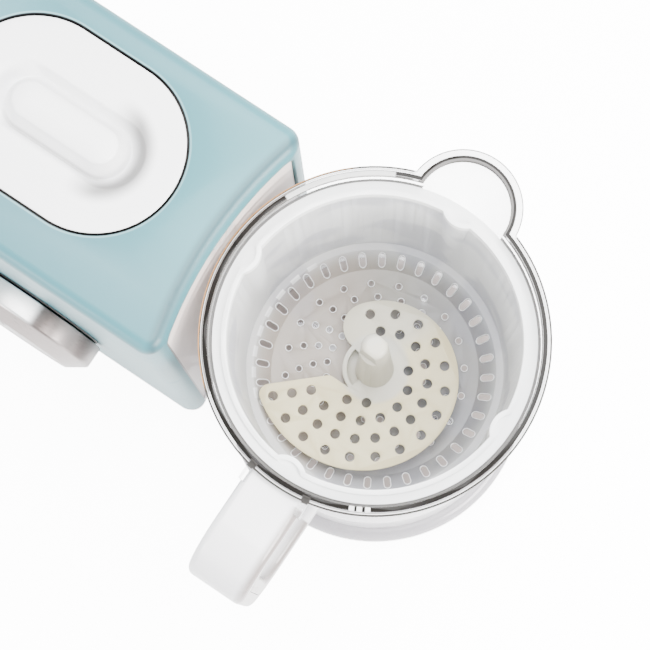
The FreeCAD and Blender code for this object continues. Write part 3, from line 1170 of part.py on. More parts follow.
def thermal_fuse():
    """Thermal fuse lying against the heating plate."""
    x = TOWER_X + ELEMENT_RING_RADIUS + ELEMENT_RADIUS + 2 * FUSE_RADIUS
    return rod_y(x, LID_Y - FUSE_LENGTH / 2, LID_Y + FUSE_LENGTH / 2,
                 HEATER_UNDER - FUSE_RADIUS - SEAT_GAP, FUSE_RADIUS)


def panel_face_x():
    """X of the side panel's outer face at the bowl's axis line."""
    radius = SCOOP_RADIUS + PANEL_INSET
    return SCOOP_X - math.sqrt(radius ** 2 - (BOWL_Y - TOWER_YM) ** 2)


def steam_tube():
    """Tube from the tank's outlet to the steam nozzle."""
    start = TOWER_X + LID_CENTRES + TANK_END
    stop = panel_face_x() - PANEL_WALL
    outer = rod_x(start, stop, BOWL_Y, STEAM_HEIGHT, STEAM_BORE + STEAM_TUBE_WALL)
    outer = outer.cut(stadium(TANK_END + TANK_WALL, STEAM_HEIGHT - NOZZLE_RADIUS,
                              STEAM_HEIGHT + NOZZLE_RADIUS))
    return outer.cut(rod_x(start, stop, BOWL_Y, STEAM_HEIGHT, STEAM_BORE))


def steam_nozzle():
    """Steam outlet in the side panel, facing the bowl."""
    start = panel_face_x() - PANEL_WALL
    stop = panel_face_x() + NOZZLE_PROUD
    nozzle = rod_x(start, stop, BOWL_Y, STEAM_HEIGHT, NOZZLE_RADIUS)
    return nozzle.cut(rod_x(start, stop, BOWL_Y, STEAM_HEIGHT, STEAM_BORE))


def nozzle_seal():
    """Silicone ring between the nozzle and the side panel."""
    start = panel_face_x() - PANEL_WALL
    stop = panel_face_x() + NOZZLE_PROUD
    ring = rod_x(start, stop, BOWL_Y, STEAM_HEIGHT, NOZZLE_RADIUS + NOZZLE_SEAL_WIDTH)
    return ring.cut(rod_x(start, stop, BOWL_Y, STEAM_HEIGHT, NOZZLE_RADIUS))


def knob_turned(profile):
    """Solid of revolution about the knob's axis from (radius, y) corners."""
    corners = [Vector(TOWER_X + radius, y, KNOB_HEIGHT) for radius, y in profile]
    corners.append(corners[0])
    return Part.Face(Part.makePolygon(corners)).revolve(Vector(TOWER_X, 0, KNOB_HEIGHT), ALONG_Y, 360)


def control_knob():
    """Hollow selector knob with a broad bevel and a boss for its shaft."""
    body = knob_turned([(0, KNOB_FRONT), (KNOB_RADIUS - KNOB_BEVEL_REACH, KNOB_FRONT),
                        (KNOB_RADIUS, KNOB_FRONT + KNOB_BEVEL), (KNOB_RADIUS, KNOB_BACK), (0, KNOB_BACK)])
    room = rod_y(TOWER_X, KNOB_FRONT + KNOB_BEVEL + KNOB_WALL, KNOB_BACK, KNOB_HEIGHT,
                 KNOB_RADIUS - KNOB_WALL)
    boss = rod_y(TOWER_X, KNOB_FRONT + KNOB_BEVEL, KNOB_BACK, KNOB_HEIGHT, KNOB_BOSS_RADIUS)
    body = joined([body.cut(room), boss])
    face_seat = rod_y(TOWER_X, KNOB_FRONT, KNOB_FRONT + KNOB_FACE_WALL, KNOB_HEIGHT, knob_face_radius())
    shaft_hole = rod_y(TOWER_X, KNOB_FRONT + KNOB_BEVEL, KNOB_BACK, KNOB_HEIGHT, KNOB_SHAFT_RADIUS)
    return body.cut(face_seat).cut(shaft_hole)


def knob_face_radius():
    """Radius of the knob's front disc."""
    return KNOB_RADIUS - KNOB_BEVEL_REACH - KNOB_FACE_INSET / 2


def knob_face():
    """Plain disc let into the knob's front."""
    return rod_y(TOWER_X, KNOB_FRONT, KNOB_FRONT + KNOB_FACE_WALL, KNOB_HEIGHT, knob_face_radius())


def knob_shaft():
    """Shaft from the knob through the tower's wall into the switch."""
    return rod_y(TOWER_X, KNOB_FRONT + KNOB_BEVEL, TOWER_Y0 + TOWER_WALL + SWITCH_BITE, KNOB_HEIGHT,
                 KNOB_SHAFT_RADIUS)


def dial_ring():
    """Dark ring on the tower's face behind the knob."""
    ring = rod_y(TOWER_X, TOWER_Y0 - DIAL_RING_WALL, TOWER_Y0, KNOB_HEIGHT, KNOB_RADIUS - DIAL_RING_INSET)
    return ring.cut(rod_y(TOWER_X, TOWER_Y0 - DIAL_RING_WALL, TOWER_Y0, KNOB_HEIGHT, DIAL_RING_BORE))


def selector_switch():
    """Rotary switch behind the tower's front wall."""
    y0 = TOWER_Y0 + TOWER_WALL
    half = SWITCH_WIDTH / 2
    body = box(TOWER_X - half, TOWER_X + half, y0, y0 + SWITCH_DEPTH, KNOB_HEIGHT - half, KNOB_HEIGHT + half)
    return body.cut(rod_y(TOWER_X, y0, y0 + SWITCH_BITE + TURNING_GAP, KNOB_HEIGHT,
                          KNOB_SHAFT_RADIUS + RUNNING_CLEARANCE))


def board_corners():
    """Centres of the four posts under the control board."""
    dx = BOARD_LENGTH / 2 - BOARD_POST_RADIUS
    dy = BOARD_WIDTH / 2 - BOARD_POST_RADIUS
    return [(TOWER_X + sx * dx, TOWER_YM + sy * dy) for sx in (-1, 1) for sy in (-1, 1)]


def board_under():
    """Level of the control board's underside."""
    return TRAY_FLOOR_TOP + BOARD_LIFT


def control_board():
    """Circuit board on the tray's posts."""
    z0 = board_under()
    return box(TOWER_X - BOARD_LENGTH / 2, TOWER_X + BOARD_LENGTH / 2, TOWER_YM - BOARD_WIDTH / 2,
               TOWER_YM + BOARD_WIDTH / 2, z0, z0 + BOARD_WALL)


def board_parts():
    """Relays and capacitors on the board."""
    z0 = board_under() + BOARD_WALL
    pieces = []
    for side in (-1, 1):
        middle = TOWER_X + side * BOARD_LENGTH / 4
        pieces.append(box(middle - RELAY_LENGTH / 2, middle + RELAY_LENGTH / 2, TOWER_YM,
                          TOWER_YM + RELAY_WIDTH, z0, z0 + RELAY_HEIGHT))
        pieces.append(rod(middle, TOWER_YM - 2 * CAPACITOR_RADIUS, z0, z0 + CAPACITOR_HEIGHT,
                          CAPACITOR_RADIUS))
    return Part.makeCompound(pieces)


def cord_gland():
    """Bush in the tower's back wall where the mains lead leaves."""
    flange = rod_y(GLAND_X, TOWER_Y1, TOWER_Y1 + GLAND_FLANGE_WALL, GLAND_HEIGHT, GLAND_RADIUS + GLAND_FLANGE)
    neck = rod_y(GLAND_X, TOWER_Y1 - 2 * TOWER_WALL, TOWER_Y1, GLAND_HEIGHT, GLAND_RADIUS - SEAT_GAP)
    bore = rod_y(GLAND_X, TOWER_Y1 - 2 * TOWER_WALL, TOWER_Y1 + GLAND_FLANGE_WALL, GLAND_HEIGHT, GLAND_BORE)
    return joined([flange, neck]).cut(bore)


def commutator():
    """Commutator ring on the shaft."""
    return tube(BOWL_X, BOWL_Y, COMMUTATOR_UNDER, COMMUTATOR_TOP, COMMUTATOR_RADIUS, MOTOR_SHAFT_RADIUS)


def upper_bearing():
    """Bearing in the motor can."""
    return bearing(BEARING_HIGH_UNDER)


def lower_bearing():
    """Bearing in the motor's end cap."""
    return bearing(BEARING_LOW_UNDER)


PIECES = (tower_shell, side_panel, base_tray, rubber_feet, base_screws, motor_base, motor_can,
          motor_end_cap, motor_magnets, motor_brushes, upper_bearing, lower_bearing, motor_mounts,
          motor_screws, shaft_seal, motor_shaft, rotor_core, rotor_windings, commutator, cooling_fan,
          drive_coupler, boiler_tank, heater_plate, heating_element, thermostat, thermal_fuse,
          steam_tube, steam_nozzle, nozzle_seal, selector_switch, dial_ring, control_board, board_parts,
          cord_gland, control_knob, knob_face, knob_shaft, tank_lid, lid_seal, bowl, handle_outer,
          handle_inner, handle_screws, blade_bush, blade_seal, blade_shaft, blade_hub, cutting_blades,
          blade_coupler, steam_basket, strainer_plate)

os.makedirs("parts", exist_ok=True)
for piece in PIECES:
    shape = piece()
    name = piece.__name__
    if not shape.isValid():
        print("invalid shape:", name)
    print(name, len(shape.Solids), "solids", round(shape.Volume / 1000, 2), "cm3")
    shape.exportStep("parts/" + name + ".step")
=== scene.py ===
import logging
import math
from dataclasses import dataclass
from enum import Enum
from typing import ClassVar, Iterable, Optional, Sequence, Union

import bmesh
import bpy
from mathutils import Matrix, Vector


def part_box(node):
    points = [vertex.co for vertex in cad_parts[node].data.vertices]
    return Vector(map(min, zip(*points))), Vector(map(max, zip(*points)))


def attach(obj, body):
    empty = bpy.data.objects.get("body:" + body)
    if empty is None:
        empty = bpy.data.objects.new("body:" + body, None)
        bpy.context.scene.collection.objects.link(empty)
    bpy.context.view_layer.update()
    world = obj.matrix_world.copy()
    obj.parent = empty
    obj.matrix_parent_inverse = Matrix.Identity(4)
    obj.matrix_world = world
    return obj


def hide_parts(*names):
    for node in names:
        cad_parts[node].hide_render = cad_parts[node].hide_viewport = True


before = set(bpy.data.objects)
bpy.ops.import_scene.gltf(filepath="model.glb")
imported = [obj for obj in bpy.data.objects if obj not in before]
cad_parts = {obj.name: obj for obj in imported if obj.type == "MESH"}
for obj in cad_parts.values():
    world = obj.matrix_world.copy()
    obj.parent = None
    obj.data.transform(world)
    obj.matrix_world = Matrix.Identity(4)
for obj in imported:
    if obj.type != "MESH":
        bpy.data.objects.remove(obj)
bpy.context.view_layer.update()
LOG = logging.getLogger("baby_food_maker")

Colour = tuple[float, float, float]
Triple = tuple[float, float, float]
Pair = tuple[float, float]
Shares = tuple[float, ...]
Key = Union[int, str]
MM = 0.001
WELD = 0.001 * MM
FLAT = math.radians(0.3)


class Body(str, Enum):
    """Rigid bodies that the built pieces ride on."""

    BASE = "base"
    KNOB = "knob"
    LID = "lid"
    BOWL = "bowl_body"
    BASKET = "basket"
    STRAINER = "strainer"


class Slot(str, Enum):
    """Material slots of the record."""

    TEAL = "teal_plastic"
    PANEL = "panel_plastic"
    WHITE = "white_plastic"
    LID = "lid_plastic"
    CLEAR = "clear_plastic"
    FROSTED = "frosted_plastic"
    BEIGE = "beige_plastic"
    SILVER = "silver_plastic"
    DARK = "dark_plastic"
    RUBBER = "rubber"
    SILICONE = "silicone"
    STEEL = "steel"
    DARK_STEEL = "dark_steel"
    ALUMINIUM = "aluminium"
    COPPER = "copper"
    MAGNET = "magnet"
    BOARD = "board"


Dressing = dict[Slot, tuple[str, ...]]


class Axis(Enum):
    """Axes of the frame."""

    X = 0
    Y = 1
    Z = 2


class Field:
    """A shader socket that takes part in Python arithmetic."""

    def __init__(self, kit: "ShaderKit", socket: bpy.types.NodeSocket) -> None:
        """Wraps one output socket.

        Args:
            kit: the material's node builder.
            socket: the output that carries the value.
        """
        self.kit = kit
        self.socket = socket

    def _math(self, operation: str, first: "Term", second: "Term" = 0.0) -> "Field":
        """Adds one Math node.

        Args:
            operation: the Math node's operation.
            first: left operand.
            second: right operand.

        Returns:
            The node's result.
        """
        return self.kit.node("ShaderNodeMath", {"operation": operation}, {0: first, 1: second})

    def __add__(self, other: "Term") -> "Field":
        """Sum."""
        return self._math("ADD", self, other)

    def __radd__(self, other: "Term") -> "Field":
        """Sum with a number on the left."""
        return self._math("ADD", other, self)

    def __sub__(self, other: "Term") -> "Field":
        """Difference."""
        return self._math("SUBTRACT", self, other)

    def __rsub__(self, other: "Term") -> "Field":
        """Difference from a number."""
        return self._math("SUBTRACT", other, self)

    def __mul__(self, other: "Term") -> "Field":
        """Product."""
        return self._math("MULTIPLY", self, other)

    def __rmul__(self, other: "Term") -> "Field":
        """Product with a number on the left."""
        return self._math("MULTIPLY", other, self)

    def __truediv__(self, other: "Term") -> "Field":
        """Quotient."""
        return self._math("DIVIDE", self, other)

    def __rtruediv__(self, other: "Term") -> "Field":
        """Quotient of a number."""
        return self._math("DIVIDE", other, self)

    def __abs__(self) -> "Field":
        """Absolute value."""
        return self._math("ABSOLUTE", self)

    def least(self, other: "Term") -> "Field":
        """The smaller of two values."""
        return self._math("MINIMUM", self, other)

    def most(self, other: "Term") -> "Field":
        """The larger of two values."""
        return self._math("MAXIMUM", self, other)

    def root(self) -> "Field":
        """Square root."""
        return self._math("SQRT", self)

    def sine(self) -> "Field":
        """Sine."""
        return self._math("SINE", self)

    def step(self, low: float, high: float) -> "Field":
        """Smooth step from 0 at low to 1 at high.

        Args:
            low: value that maps to 0.
            high: value that maps to 1.

        Returns:
            The eased value.
        """
        return self.kit.node("ShaderNodeMapRange", {"interpolation_type": "SMOOTHSTEP"},
                             {"Value": self, "From Min": low, "From Max": high})


Term = Union[Field, float, int]
Value = Union[Field, float, int, Sequence[float]]


class ShaderKit:
    """Builds one node material."""

    def __init__(self, name: str) -> None:
        """Starts an empty material.

        Args:
            name: the material's name.
        """
        self.material = bpy.data.materials.new(name)
        self.material.use_nodes = True
        self.tree = self.material.node_tree
        self.tree.nodes.clear()
        self.place = self.node("ShaderNodeTexCoord", output="Object")
        self.axes = tuple(self.node("ShaderNodeSeparateXYZ", sockets={0: self.place}, output=axis.value)
                          for axis in Axis)

    @staticmethod
    def _socket(sockets: Iterable[bpy.types.NodeSocket], key: Key) -> bpy.types.NodeSocket:
        """Finds a socket by place, identifier or name.

        Args:
            sockets: a node's inputs or outputs.
            key: place, identifier or name.

        Returns:
            The socket.
        """
        found = list(sockets)
        if isinstance(key, int):
            return found[key]
        return next(s for s in found if key in (s.identifier, s.name))

    def node(self, kind: str, settings: Optional[dict[str, object]] = None,
             sockets: Optional[dict[Key, Value]] = None, output: Key = 0) -> Field:
        """Adds any node.

        Args:
            kind: the node's type.
            settings: properties that are set first.
            sockets: values or links of its inputs.
            output: which output to hand back.

        Returns:
            The chosen output.
        """
        node = self.tree.nodes.new(kind)
        for key, value in (settings or {}).items():
            setattr(node, key, value)
        for key, value in (sockets or {}).items():
            target = self._socket(node.inputs, key)
            if isinstance(value, Field):
                self.tree.links.new(value.socket, target)
            else:
                target.default_value = value
        return Field(self, self._socket(node.outputs, output))

    def distance(self, x: Term, y: Term, centre: Sequence[float]) -> Field:
        """Distance in a plane from a centre.

        Args:
            x: first coordinate.
            y: second coordinate.
            centre: the centre's two coordinates.

        Returns:
            The distance.
        """
        across = x - centre[0]
        along = y - centre[1]
        return (across * across + along * along).root()

    def angle(self, x: Field, y: Field, centre: Sequence[float]) -> Field:
        """Angle in a plane about a centre.

        Args:
            x: first coordinate.
            y: second coordinate.
            centre: the centre's two coordinates.

        Returns:
            The angle in radians.
        """
        return self.node("ShaderNodeMath", {"operation": "ARCTAN2"}, {0: y - centre[1], 1: x - centre[0]})

    @staticmethod
    def band(value: Field, start: float, stop: float, soft: float) -> Field:
        """Mask of a band of values.

        Args:
            value: the value that is banded.
            start: where the band starts.
            stop: where it stops.
            soft: half the width of its soft edges.

        Returns:
            1 inside the band, 0 outside.
        """
        return value.step(start - soft, start + soft) * (1 - value.step(stop - soft, stop + soft))

    def noise(self, scale: Union[float, Sequence[float]], detail: float) -> Field:
        """Noise over object coordinates.

        Args:
            scale: cycles per metre, one number or one per axis.
            detail: octaves.

        Returns:
            A value about 0.5.
        """
        vector = self.place
        size = scale
        if not isinstance(scale, (int, float)):
            vector = self.node("ShaderNodeVectorMath", {"operation": "MULTIPLY"},
                               {0: vector, 1: tuple(scale)})
            size = 1.0
        return self.node("ShaderNodeTexNoise", None,
                         {"Vector": vector, "Scale": size, "Detail": detail}, "Fac")

    def mix(self, factor: Term, first: Value, second: Value) -> Field:
        """Mixes two colours.

        Args:
            factor: share of the second colour.
            first: colour at 0.
            second: colour at 1.

        Returns:
            The mixed colour.
        """
        pair = [c if isinstance(c, Field) else (*c, 1.0) for c in (first, second)]
        return self.node("ShaderNodeMix", {"data_type": "RGBA"},
                         {"Factor_Float": factor, "A_Color": pair[0], "B_Color": pair[1]}, "Result_Color")

    def bump(self, height: Field, distance: float, strength: float) -> Field:
        """Bump from a height.

        Args:
            height: height field, 0 to 1.
            distance: height of 1, in metres.
            strength: share of the effect.

        Returns:
            A normal.
        """
        return self.node("ShaderNodeBump", None,
                         {"Height": height, "Distance": distance, "Strength": strength}, "Normal")

    def edge_on(self, blend: float) -> Field:
        """Share of the surface that is seen edge on, for gloss and clear walls.

        Args:
            blend: how far the effect reaches towards the middle.

        Returns:
            0 face on, 1 edge on.
        """
        return self.node("ShaderNodeLayerWeight", None, {"Blend": blend}, "Facing")

    def surface(self, **sockets: Value) -> Field:
        """Principled surface.

        Args:
            **sockets: input values by name, with _ for a space.

        Returns:
            The shader.
        """
        named = {key.replace("_", " "): value for key, value in sockets.items()}
        if not isinstance(named["Base Color"], Field):
            named["Base Color"] = (*named["Base Color"], 1.0)
        return self.node("ShaderNodeBsdfPrincipled", None, named)

    def done(self, shader: Field) -> bpy.types.Material:
        """Links the shader to the output.

        Args:
            shader: the finished surface.

        Returns:
            The material.
        """
        output = self.tree.nodes.new("ShaderNodeOutputMaterial")
        self.tree.links.new(shader.socket, output.inputs["Surface"])
        return self.material


@dataclass(frozen=True)
class AlongMask:
    """Band between two places on one axis."""

    axis: Axis
    start: float
    stop: float
    soft: float = 0.1 * MM

    def field(self, kit: ShaderKit) -> Field:
        """1 inside the band, 0 outside."""
        return kit.band(kit.axes[self.axis.value], self.start, self.stop, self.soft)


@dataclass(frozen=True)
class OutlineMask:
    """Band beside an upright outline: a circle, a stadium, or a circle joined with a second one."""

    centre: Pair
    radius: float
    start: float
    stop: float
    soft: float = 0.12 * MM
    straight: float = 0.0
    lobe: Optional[tuple[Pair, float]] = None

    def field(self, kit: ShaderKit) -> Field:
        """Bands the distance outward from the outline.

        Args:
            kit: the material's node builder.

        Returns:
            1 inside the band, 0 outside.
        """
        x, y, _ = kit.axes
        beyond = (abs(x - self.centre[0]) - self.straight).most(0.0)
        depth = kit.distance(beyond, y, (0.0, self.centre[1])) - self.radius
        if self.lobe:
            depth = depth.least(kit.distance(x, y, self.lobe[0]) - self.lobe[1])
        return kit.band(depth, self.start, self.stop, self.soft)


@dataclass(frozen=True)
class SectorMask:
    """Sector about an upright axis, in degrees."""

    centre: Pair
    middle: float
    half: float
    soft: float = 2.0

    def field(self, kit: ShaderKit) -> Field:
        """Compares the direction from the axis with the sector's middle.

        Args:
            kit: the material's node builder.

        Returns:
            1 inside the sector, 0 outside.
        """
        x, y, _ = kit.axes
        turn = math.radians(self.middle)
        across = (x - self.centre[0]) * math.cos(turn) + (y - self.centre[1]) * math.sin(turn)
        towards = across / kit.distance(x, y, self.centre)
        return towards.step(math.cos(math.radians(self.half + self.soft)), math.cos(math.radians(self.half)))


@dataclass(frozen=True)
class SpokeMask:
    """Even spokes about an upright axis, midway between the places of as many holes."""

    centre: Pair
    count: int
    edge: Pair = (-0.1, 0.2)

    def field(self, kit: ShaderKit) -> Field:
        """Cuts a wave round the axis.

        Args:
            kit: the material's node builder.

        Returns:
            1 on the spokes, 0 between them.
        """
        x, y, _ = kit.axes
        wave = (kit.angle(x, y, self.centre) * self.count + math.pi / 2).sine()
        return 1 - wave.step(*self.edge)


@dataclass(frozen=True)
class Outside:
    """Everything that a mask leaves out."""

    mask: "Mask"

    def field(self, kit: ShaderKit) -> Field:
        """1 outside the mask, 0 inside."""
        return 1 - self.mask.field(kit)


Mask = Union[AlongMask, OutlineMask, SectorMask, SpokeMask, Outside]


@dataclass(frozen=True)
class Zone:
    """Tint where several masks meet."""

    colour: Colour
    masks: tuple[Mask, ...]
    weight: float = 1.0

    def field(self, kit: ShaderKit) -> Field:
        """Multiplies the masks.

        Args:
            kit: the material's node builder.

        Returns:
            Share of the tint.
        """
        share = self.masks[0].field(kit) * self.weight
        for mask in self.masks[1:]:
            share = share * mask.field(kit)
        return share


def tinted(kit: ShaderKit, colour: Field, zones: Iterable[Zone]) -> Field:
    """Lays tinted zones over a colour.

    Args:
        kit: the material's node builder.
        colour: the colour below.
        zones: the tints, the last on top.

    Returns:
        The tinted colour.
    """
    for zone in zones:
        colour = kit.mix(zone.field(kit), colour, zone.colour)
    return colour


@dataclass(frozen=True)
class Moulded:
    """Moulded plastic or rubber: a faint mottle, a fine eroded grain and tinted zones."""

    slot: Slot
    colour: Colour
    shade: Colour
    roughness: float = 0.35
    coat: float = 0.0
    zones: tuple[Zone, ...] = ()
    mottle: float = 26.0
    mottle_edge: Pair = (0.3, 0.7)
    grain: float = 1400.0
    grain_gloss: float = 0.1
    scuff: Triple = (90.0, 90.0, 260.0)
    scuff_edge: Pair = (0.55, 0.8)
    scuff_gloss: float = 0.06
    coat_roughness: float = 0.06
    relief: float = 0.012 * MM

    def make(self) -> bpy.types.Material:
        """Builds the material.

        Returns:
            The material of the slot.
        """
        kit = ShaderKit(self.slot.value + "_finish")
        mottle = kit.noise(self.mottle, detail=3.0).step(*self.mottle_edge)
        grain = kit.noise(self.grain, detail=2.0)
        scuff = kit.noise(self.scuff, detail=4.0).step(*self.scuff_edge)
        return kit.done(kit.surface(
            Base_Color=tinted(kit, kit.mix(mottle, self.colour, self.shade), self.zones),
            Roughness=self.roughness + (grain - 0.5) * self.grain_gloss + scuff * self.scuff_gloss,
            Coat_Weight=self.coat, Coat_Roughness=self.coat_roughness,
            Normal=kit.bump(grain, self.relief, strength=0.6)))


@dataclass(frozen=True)
class Brushed:
    """Worked metal with fine lines along one direction."""

    slot: Slot
    colour: Colour
    shade: Colour
    roughness: float = 0.3
    zones: tuple[Zone, ...] = ()
    lines: Triple = (60.0, 60.0, 4000.0)
    line_gloss: float = 0.25
    stain: float = 45.0
    stain_edge: Pair = (0.4, 0.75)
    relief: float = 0.01 * MM

    def make(self) -> bpy.types.Material:
        """Builds the material.

        Returns:
            The material of the slot.
        """
        kit = ShaderKit(self.slot.value + "_finish")
        lines = kit.noise(self.lines, detail=3.0)
        stain = kit.noise(self.stain, detail=3.0).step(*self.stain_edge)
        return kit.done(kit.surface(
            Base_Color=tinted(kit, kit.mix(stain, self.colour, self.shade), self.zones),
            Metallic=1.0, Roughness=self.roughness + (lines - 0.5) * self.line_gloss,
            Normal=kit.bump(lines, self.relief, strength=0.5)))


@dataclass(frozen=True)
class SatinSilver:
    """Silver lacquer over plastic, spun about the knob's axis, with soft painted reflection stripes out from
    it and a painted highlight on its side.
    """

    slot: Slot
    colour: Colour
    shade: Colour
    centre: Pair
    face_level: float
    roughness: float = 0.3
    # painted highlight: its colour and the turns about the axis where it lies
    light: Colour = (0.93, 0.92, 0.91)
    highlight_turns: Pair = (1.22, 2.6)
    highlight_soft: float = 0.06
    # painted reflection stripes and a painted sheen round the knob's side
    reflection_streaks: int = 10
    reflection_streak_turn: float = 20.0
    sheen_turn: float = 0.9
    sheen_mean: float = 0.75
    sheen_swing: float = 0.15
    ring_rate: float = 26000.0
    ring_share: float = 0.4
    fine: Triple = (300.0, 5000.0, 300.0)
    fine_share: float = 0.25
    fine_gloss: float = 0.14
    level_soft: float = 0.5 * MM
    metallic: float = 0.7
    relief: float = 0.006 * MM

    def make(self) -> bpy.types.Material:
        """Builds the material, with painted reflection stripes, a painted sheen and a painted highlight on
        the knob's side, and rings on its face.

        Returns:
            The material of the slot.
        """
        kit = ShaderKit(self.slot.value + "_finish")
        x, y, z = kit.axes
        rings = (kit.distance(x, z, self.centre) * self.ring_rate).sine() * 0.5 + 0.5
        fine = kit.noise(self.fine, detail=2.0)
        turn = kit.angle(x, z, self.centre)
        # painted reflection: stripes and a two-lobed sheen round the side
        reflection_streak = (turn * self.reflection_streaks + math.radians(self.reflection_streak_turn)).sine() * 0.5 + 0.5
        sheen = (turn * 2 + self.sheen_turn).sine() * self.sheen_swing + self.sheen_mean
        side = y.step(self.face_level - self.level_soft, self.face_level + self.level_soft)
        share = (sheen + (reflection_streak - sheen) * side) * (1 - self.fine_share) + fine * self.fine_share
        # painted highlight on the upper part of the side
        painted_highlight = kit.band(turn, *self.highlight_turns, self.highlight_soft) * side
        height = rings * self.ring_share + fine * (1 - self.ring_share)
        return kit.done(kit.surface(
            Base_Color=kit.mix(painted_highlight, kit.mix(share, self.shade, self.colour), self.light),
            Metallic=self.metallic, Roughness=self.roughness + (fine - 0.5) * self.fine_gloss,
            Normal=kit.bump(height, self.relief, strength=0.5)))


@dataclass(frozen=True)
class ClearWall:
    """Clear moulded bowl: see-through face on, milky edge on, with solid lines where edges bend the light."""

    slot: Slot
    colour: Colour
    zones: tuple[Zone, ...]
    roughness: float = 0.05
    gloss: float = 0.12
    smear: Triple = (60.0, 60.0, 25.0)
    smear_gloss: float = 0.08
    smear_alpha: float = 0.05
    face_alpha: float = 0.08
    edge_alpha: float = 0.4
    edge_blend: float = 0.3
    solid_share: float = 0.4

    def make(self) -> bpy.types.Material:
        """Builds the material, with zones that are as solid as their tint is strong.

        Returns:
            The material of the slot.
        """
        kit = ShaderKit(self.slot.value + "_finish")
        smear = kit.noise(self.smear, detail=3.0)
        colour: Value = self.colour
        opaque = self.face_alpha + kit.edge_on(self.edge_blend) * self.edge_alpha + smear * self.smear_alpha
        for zone in self.zones:
            share = zone.field(kit)
            colour = kit.mix(share.step(0.0, self.solid_share), colour, zone.colour)
            opaque = opaque.most(share)
        return kit.done(kit.surface(
            Base_Color=colour, Roughness=self.roughness + smear * self.smear_gloss,
            Alpha=opaque.least(1.0), Specular_IOR_Level=self.gloss))


@dataclass(frozen=True)
class Frosted:
    """Translucent white basket: dark, with a warmer tone, at the floor, grey up the wall and bright at the
    rim; the dark floor and the dark blotches below the rim are painted shade.
    """

    slot: Slot
    # the floor's dark colour is painted shade
    floor: Colour
    wall: Colour
    rim: Colour
    floor_level: float
    rim_level: float
    zones: tuple[Zone, ...] = ()
    floor_fade: float = 14.0 * MM
    rim_fade: Pair = (6.0 * MM, 2.5 * MM)
    flow: Triple = (35.0, 35.0, 12.0)
    flow_tint: Colour = (0.9, 0.92, 0.95)
    flow_start: float = 0.35
    flow_share: float = 0.3
    flow_alpha: float = 0.12
    flow_gloss: float = 0.08
    grain: float = 1600.0
    grain_gloss: float = 0.1
    # blotches of painted shade, standing for the dark parts seen through the wall
    shade_clouds: float = 38.0
    shade_cloud: Colour = (0.36, 0.37, 0.43)
    shade_cloud_edge: Pair = (0.5, 0.62)
    shade_cloud_share: float = 0.55
    roughness: float = 0.3
    wall_alpha: float = 0.72
    edge_alpha: float = 0.2
    edge_blend: float = 0.3
    relief: float = 0.01 * MM

    def make(self) -> bpy.types.Material:
        """Builds the material, with blotches of painted shade below the rim.

        Returns:
            The material of the slot.
        """
        kit = ShaderKit(self.slot.value + "_finish")
        z = kit.axes[Axis.Z.value]
        flow = kit.noise(self.flow, detail=3.0)
        grain = kit.noise(self.grain, detail=2.0)
        # painted shade: the floor darker than the wall
        low = kit.mix(z.step(self.floor_level, self.floor_level + self.floor_fade), self.floor, self.wall)
        top = z.step(self.rim_level - self.rim_fade[0], self.rim_level - self.rim_fade[1])
        body = kit.mix((flow - self.flow_start) * self.flow_share, kit.mix(top, low, self.rim),
                       self.flow_tint)
        # painted shade in blotches below the rim
        shade_cloud = kit.noise(self.shade_clouds, detail=1.0).step(*self.shade_cloud_edge) * (1 - top)
        body = kit.mix(shade_cloud * self.shade_cloud_share, body, self.shade_cloud)
        opaque = (self.wall_alpha + top * (1 - self.wall_alpha) + (flow - 0.5) * self.flow_alpha
                  + kit.edge_on(self.edge_blend) * self.edge_alpha)
        return kit.done(kit.surface(
            Base_Color=tinted(kit, body, self.zones), Alpha=opaque.least(1.0),
            Roughness=self.roughness + (grain - 0.5) * self.grain_gloss + flow * self.flow_gloss,
            Normal=kit.bump(grain, self.relief, strength=0.5)))


Finish = Union[Moulded, Brushed, SatinSilver, ClearWall, Frosted]


class Palette:
    """All finishes of the object, one material per slot."""

    def __init__(self, finishes: Iterable[Finish]) -> None:
        """Builds every material.

        Args:
            finishes: one finish for each slot.
        """
        self.materials = {finish.slot: finish.make() for finish in finishes}

    def __getitem__(self, slot: Slot) -> bpy.types.Material:
        """Material of a slot."""
        return self.materials[slot]

    def dress(self, slot: Slot, *nodes: str) -> None:
        """Gives CAD nodes a finish.

        Args:
            slot: which finish.
            *nodes: the nodes' names.
        """
        for name in nodes:
            for material_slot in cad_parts[name].material_slots:
                material_slot.material = self.materials[slot]
            LOG.info("dressed %s in %s", name, slot.value)


def linked(name: str, data: bpy.types.ID) -> bpy.types.Object:
    """Puts a new object in the scene.

    Args:
        name: its name.
        data: its mesh, light or camera.

    Returns:
        The object.
    """
    item = bpy.data.objects.new(name, data)
    bpy.context.scene.collection.objects.link(item)
    return item


def plain(mesh: bmesh.types.BMesh, name: str) -> bpy.types.Mesh:
    """Turns an edit mesh into a plain one and frees it.

    Args:
        mesh: the edit mesh.
        name: the plain mesh's name.

    Returns:
        The plain mesh.
    """
    data = bpy.data.meshes.new(name)
    mesh.to_mesh(data)
    mesh.free()
    return data


def bowl_axis() -> Pair:
    """Where the bowl's upright axis stands."""
    low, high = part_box("motor_shaft")
    return (low.x + high.x) / 2, (low.y + high.y) / 2


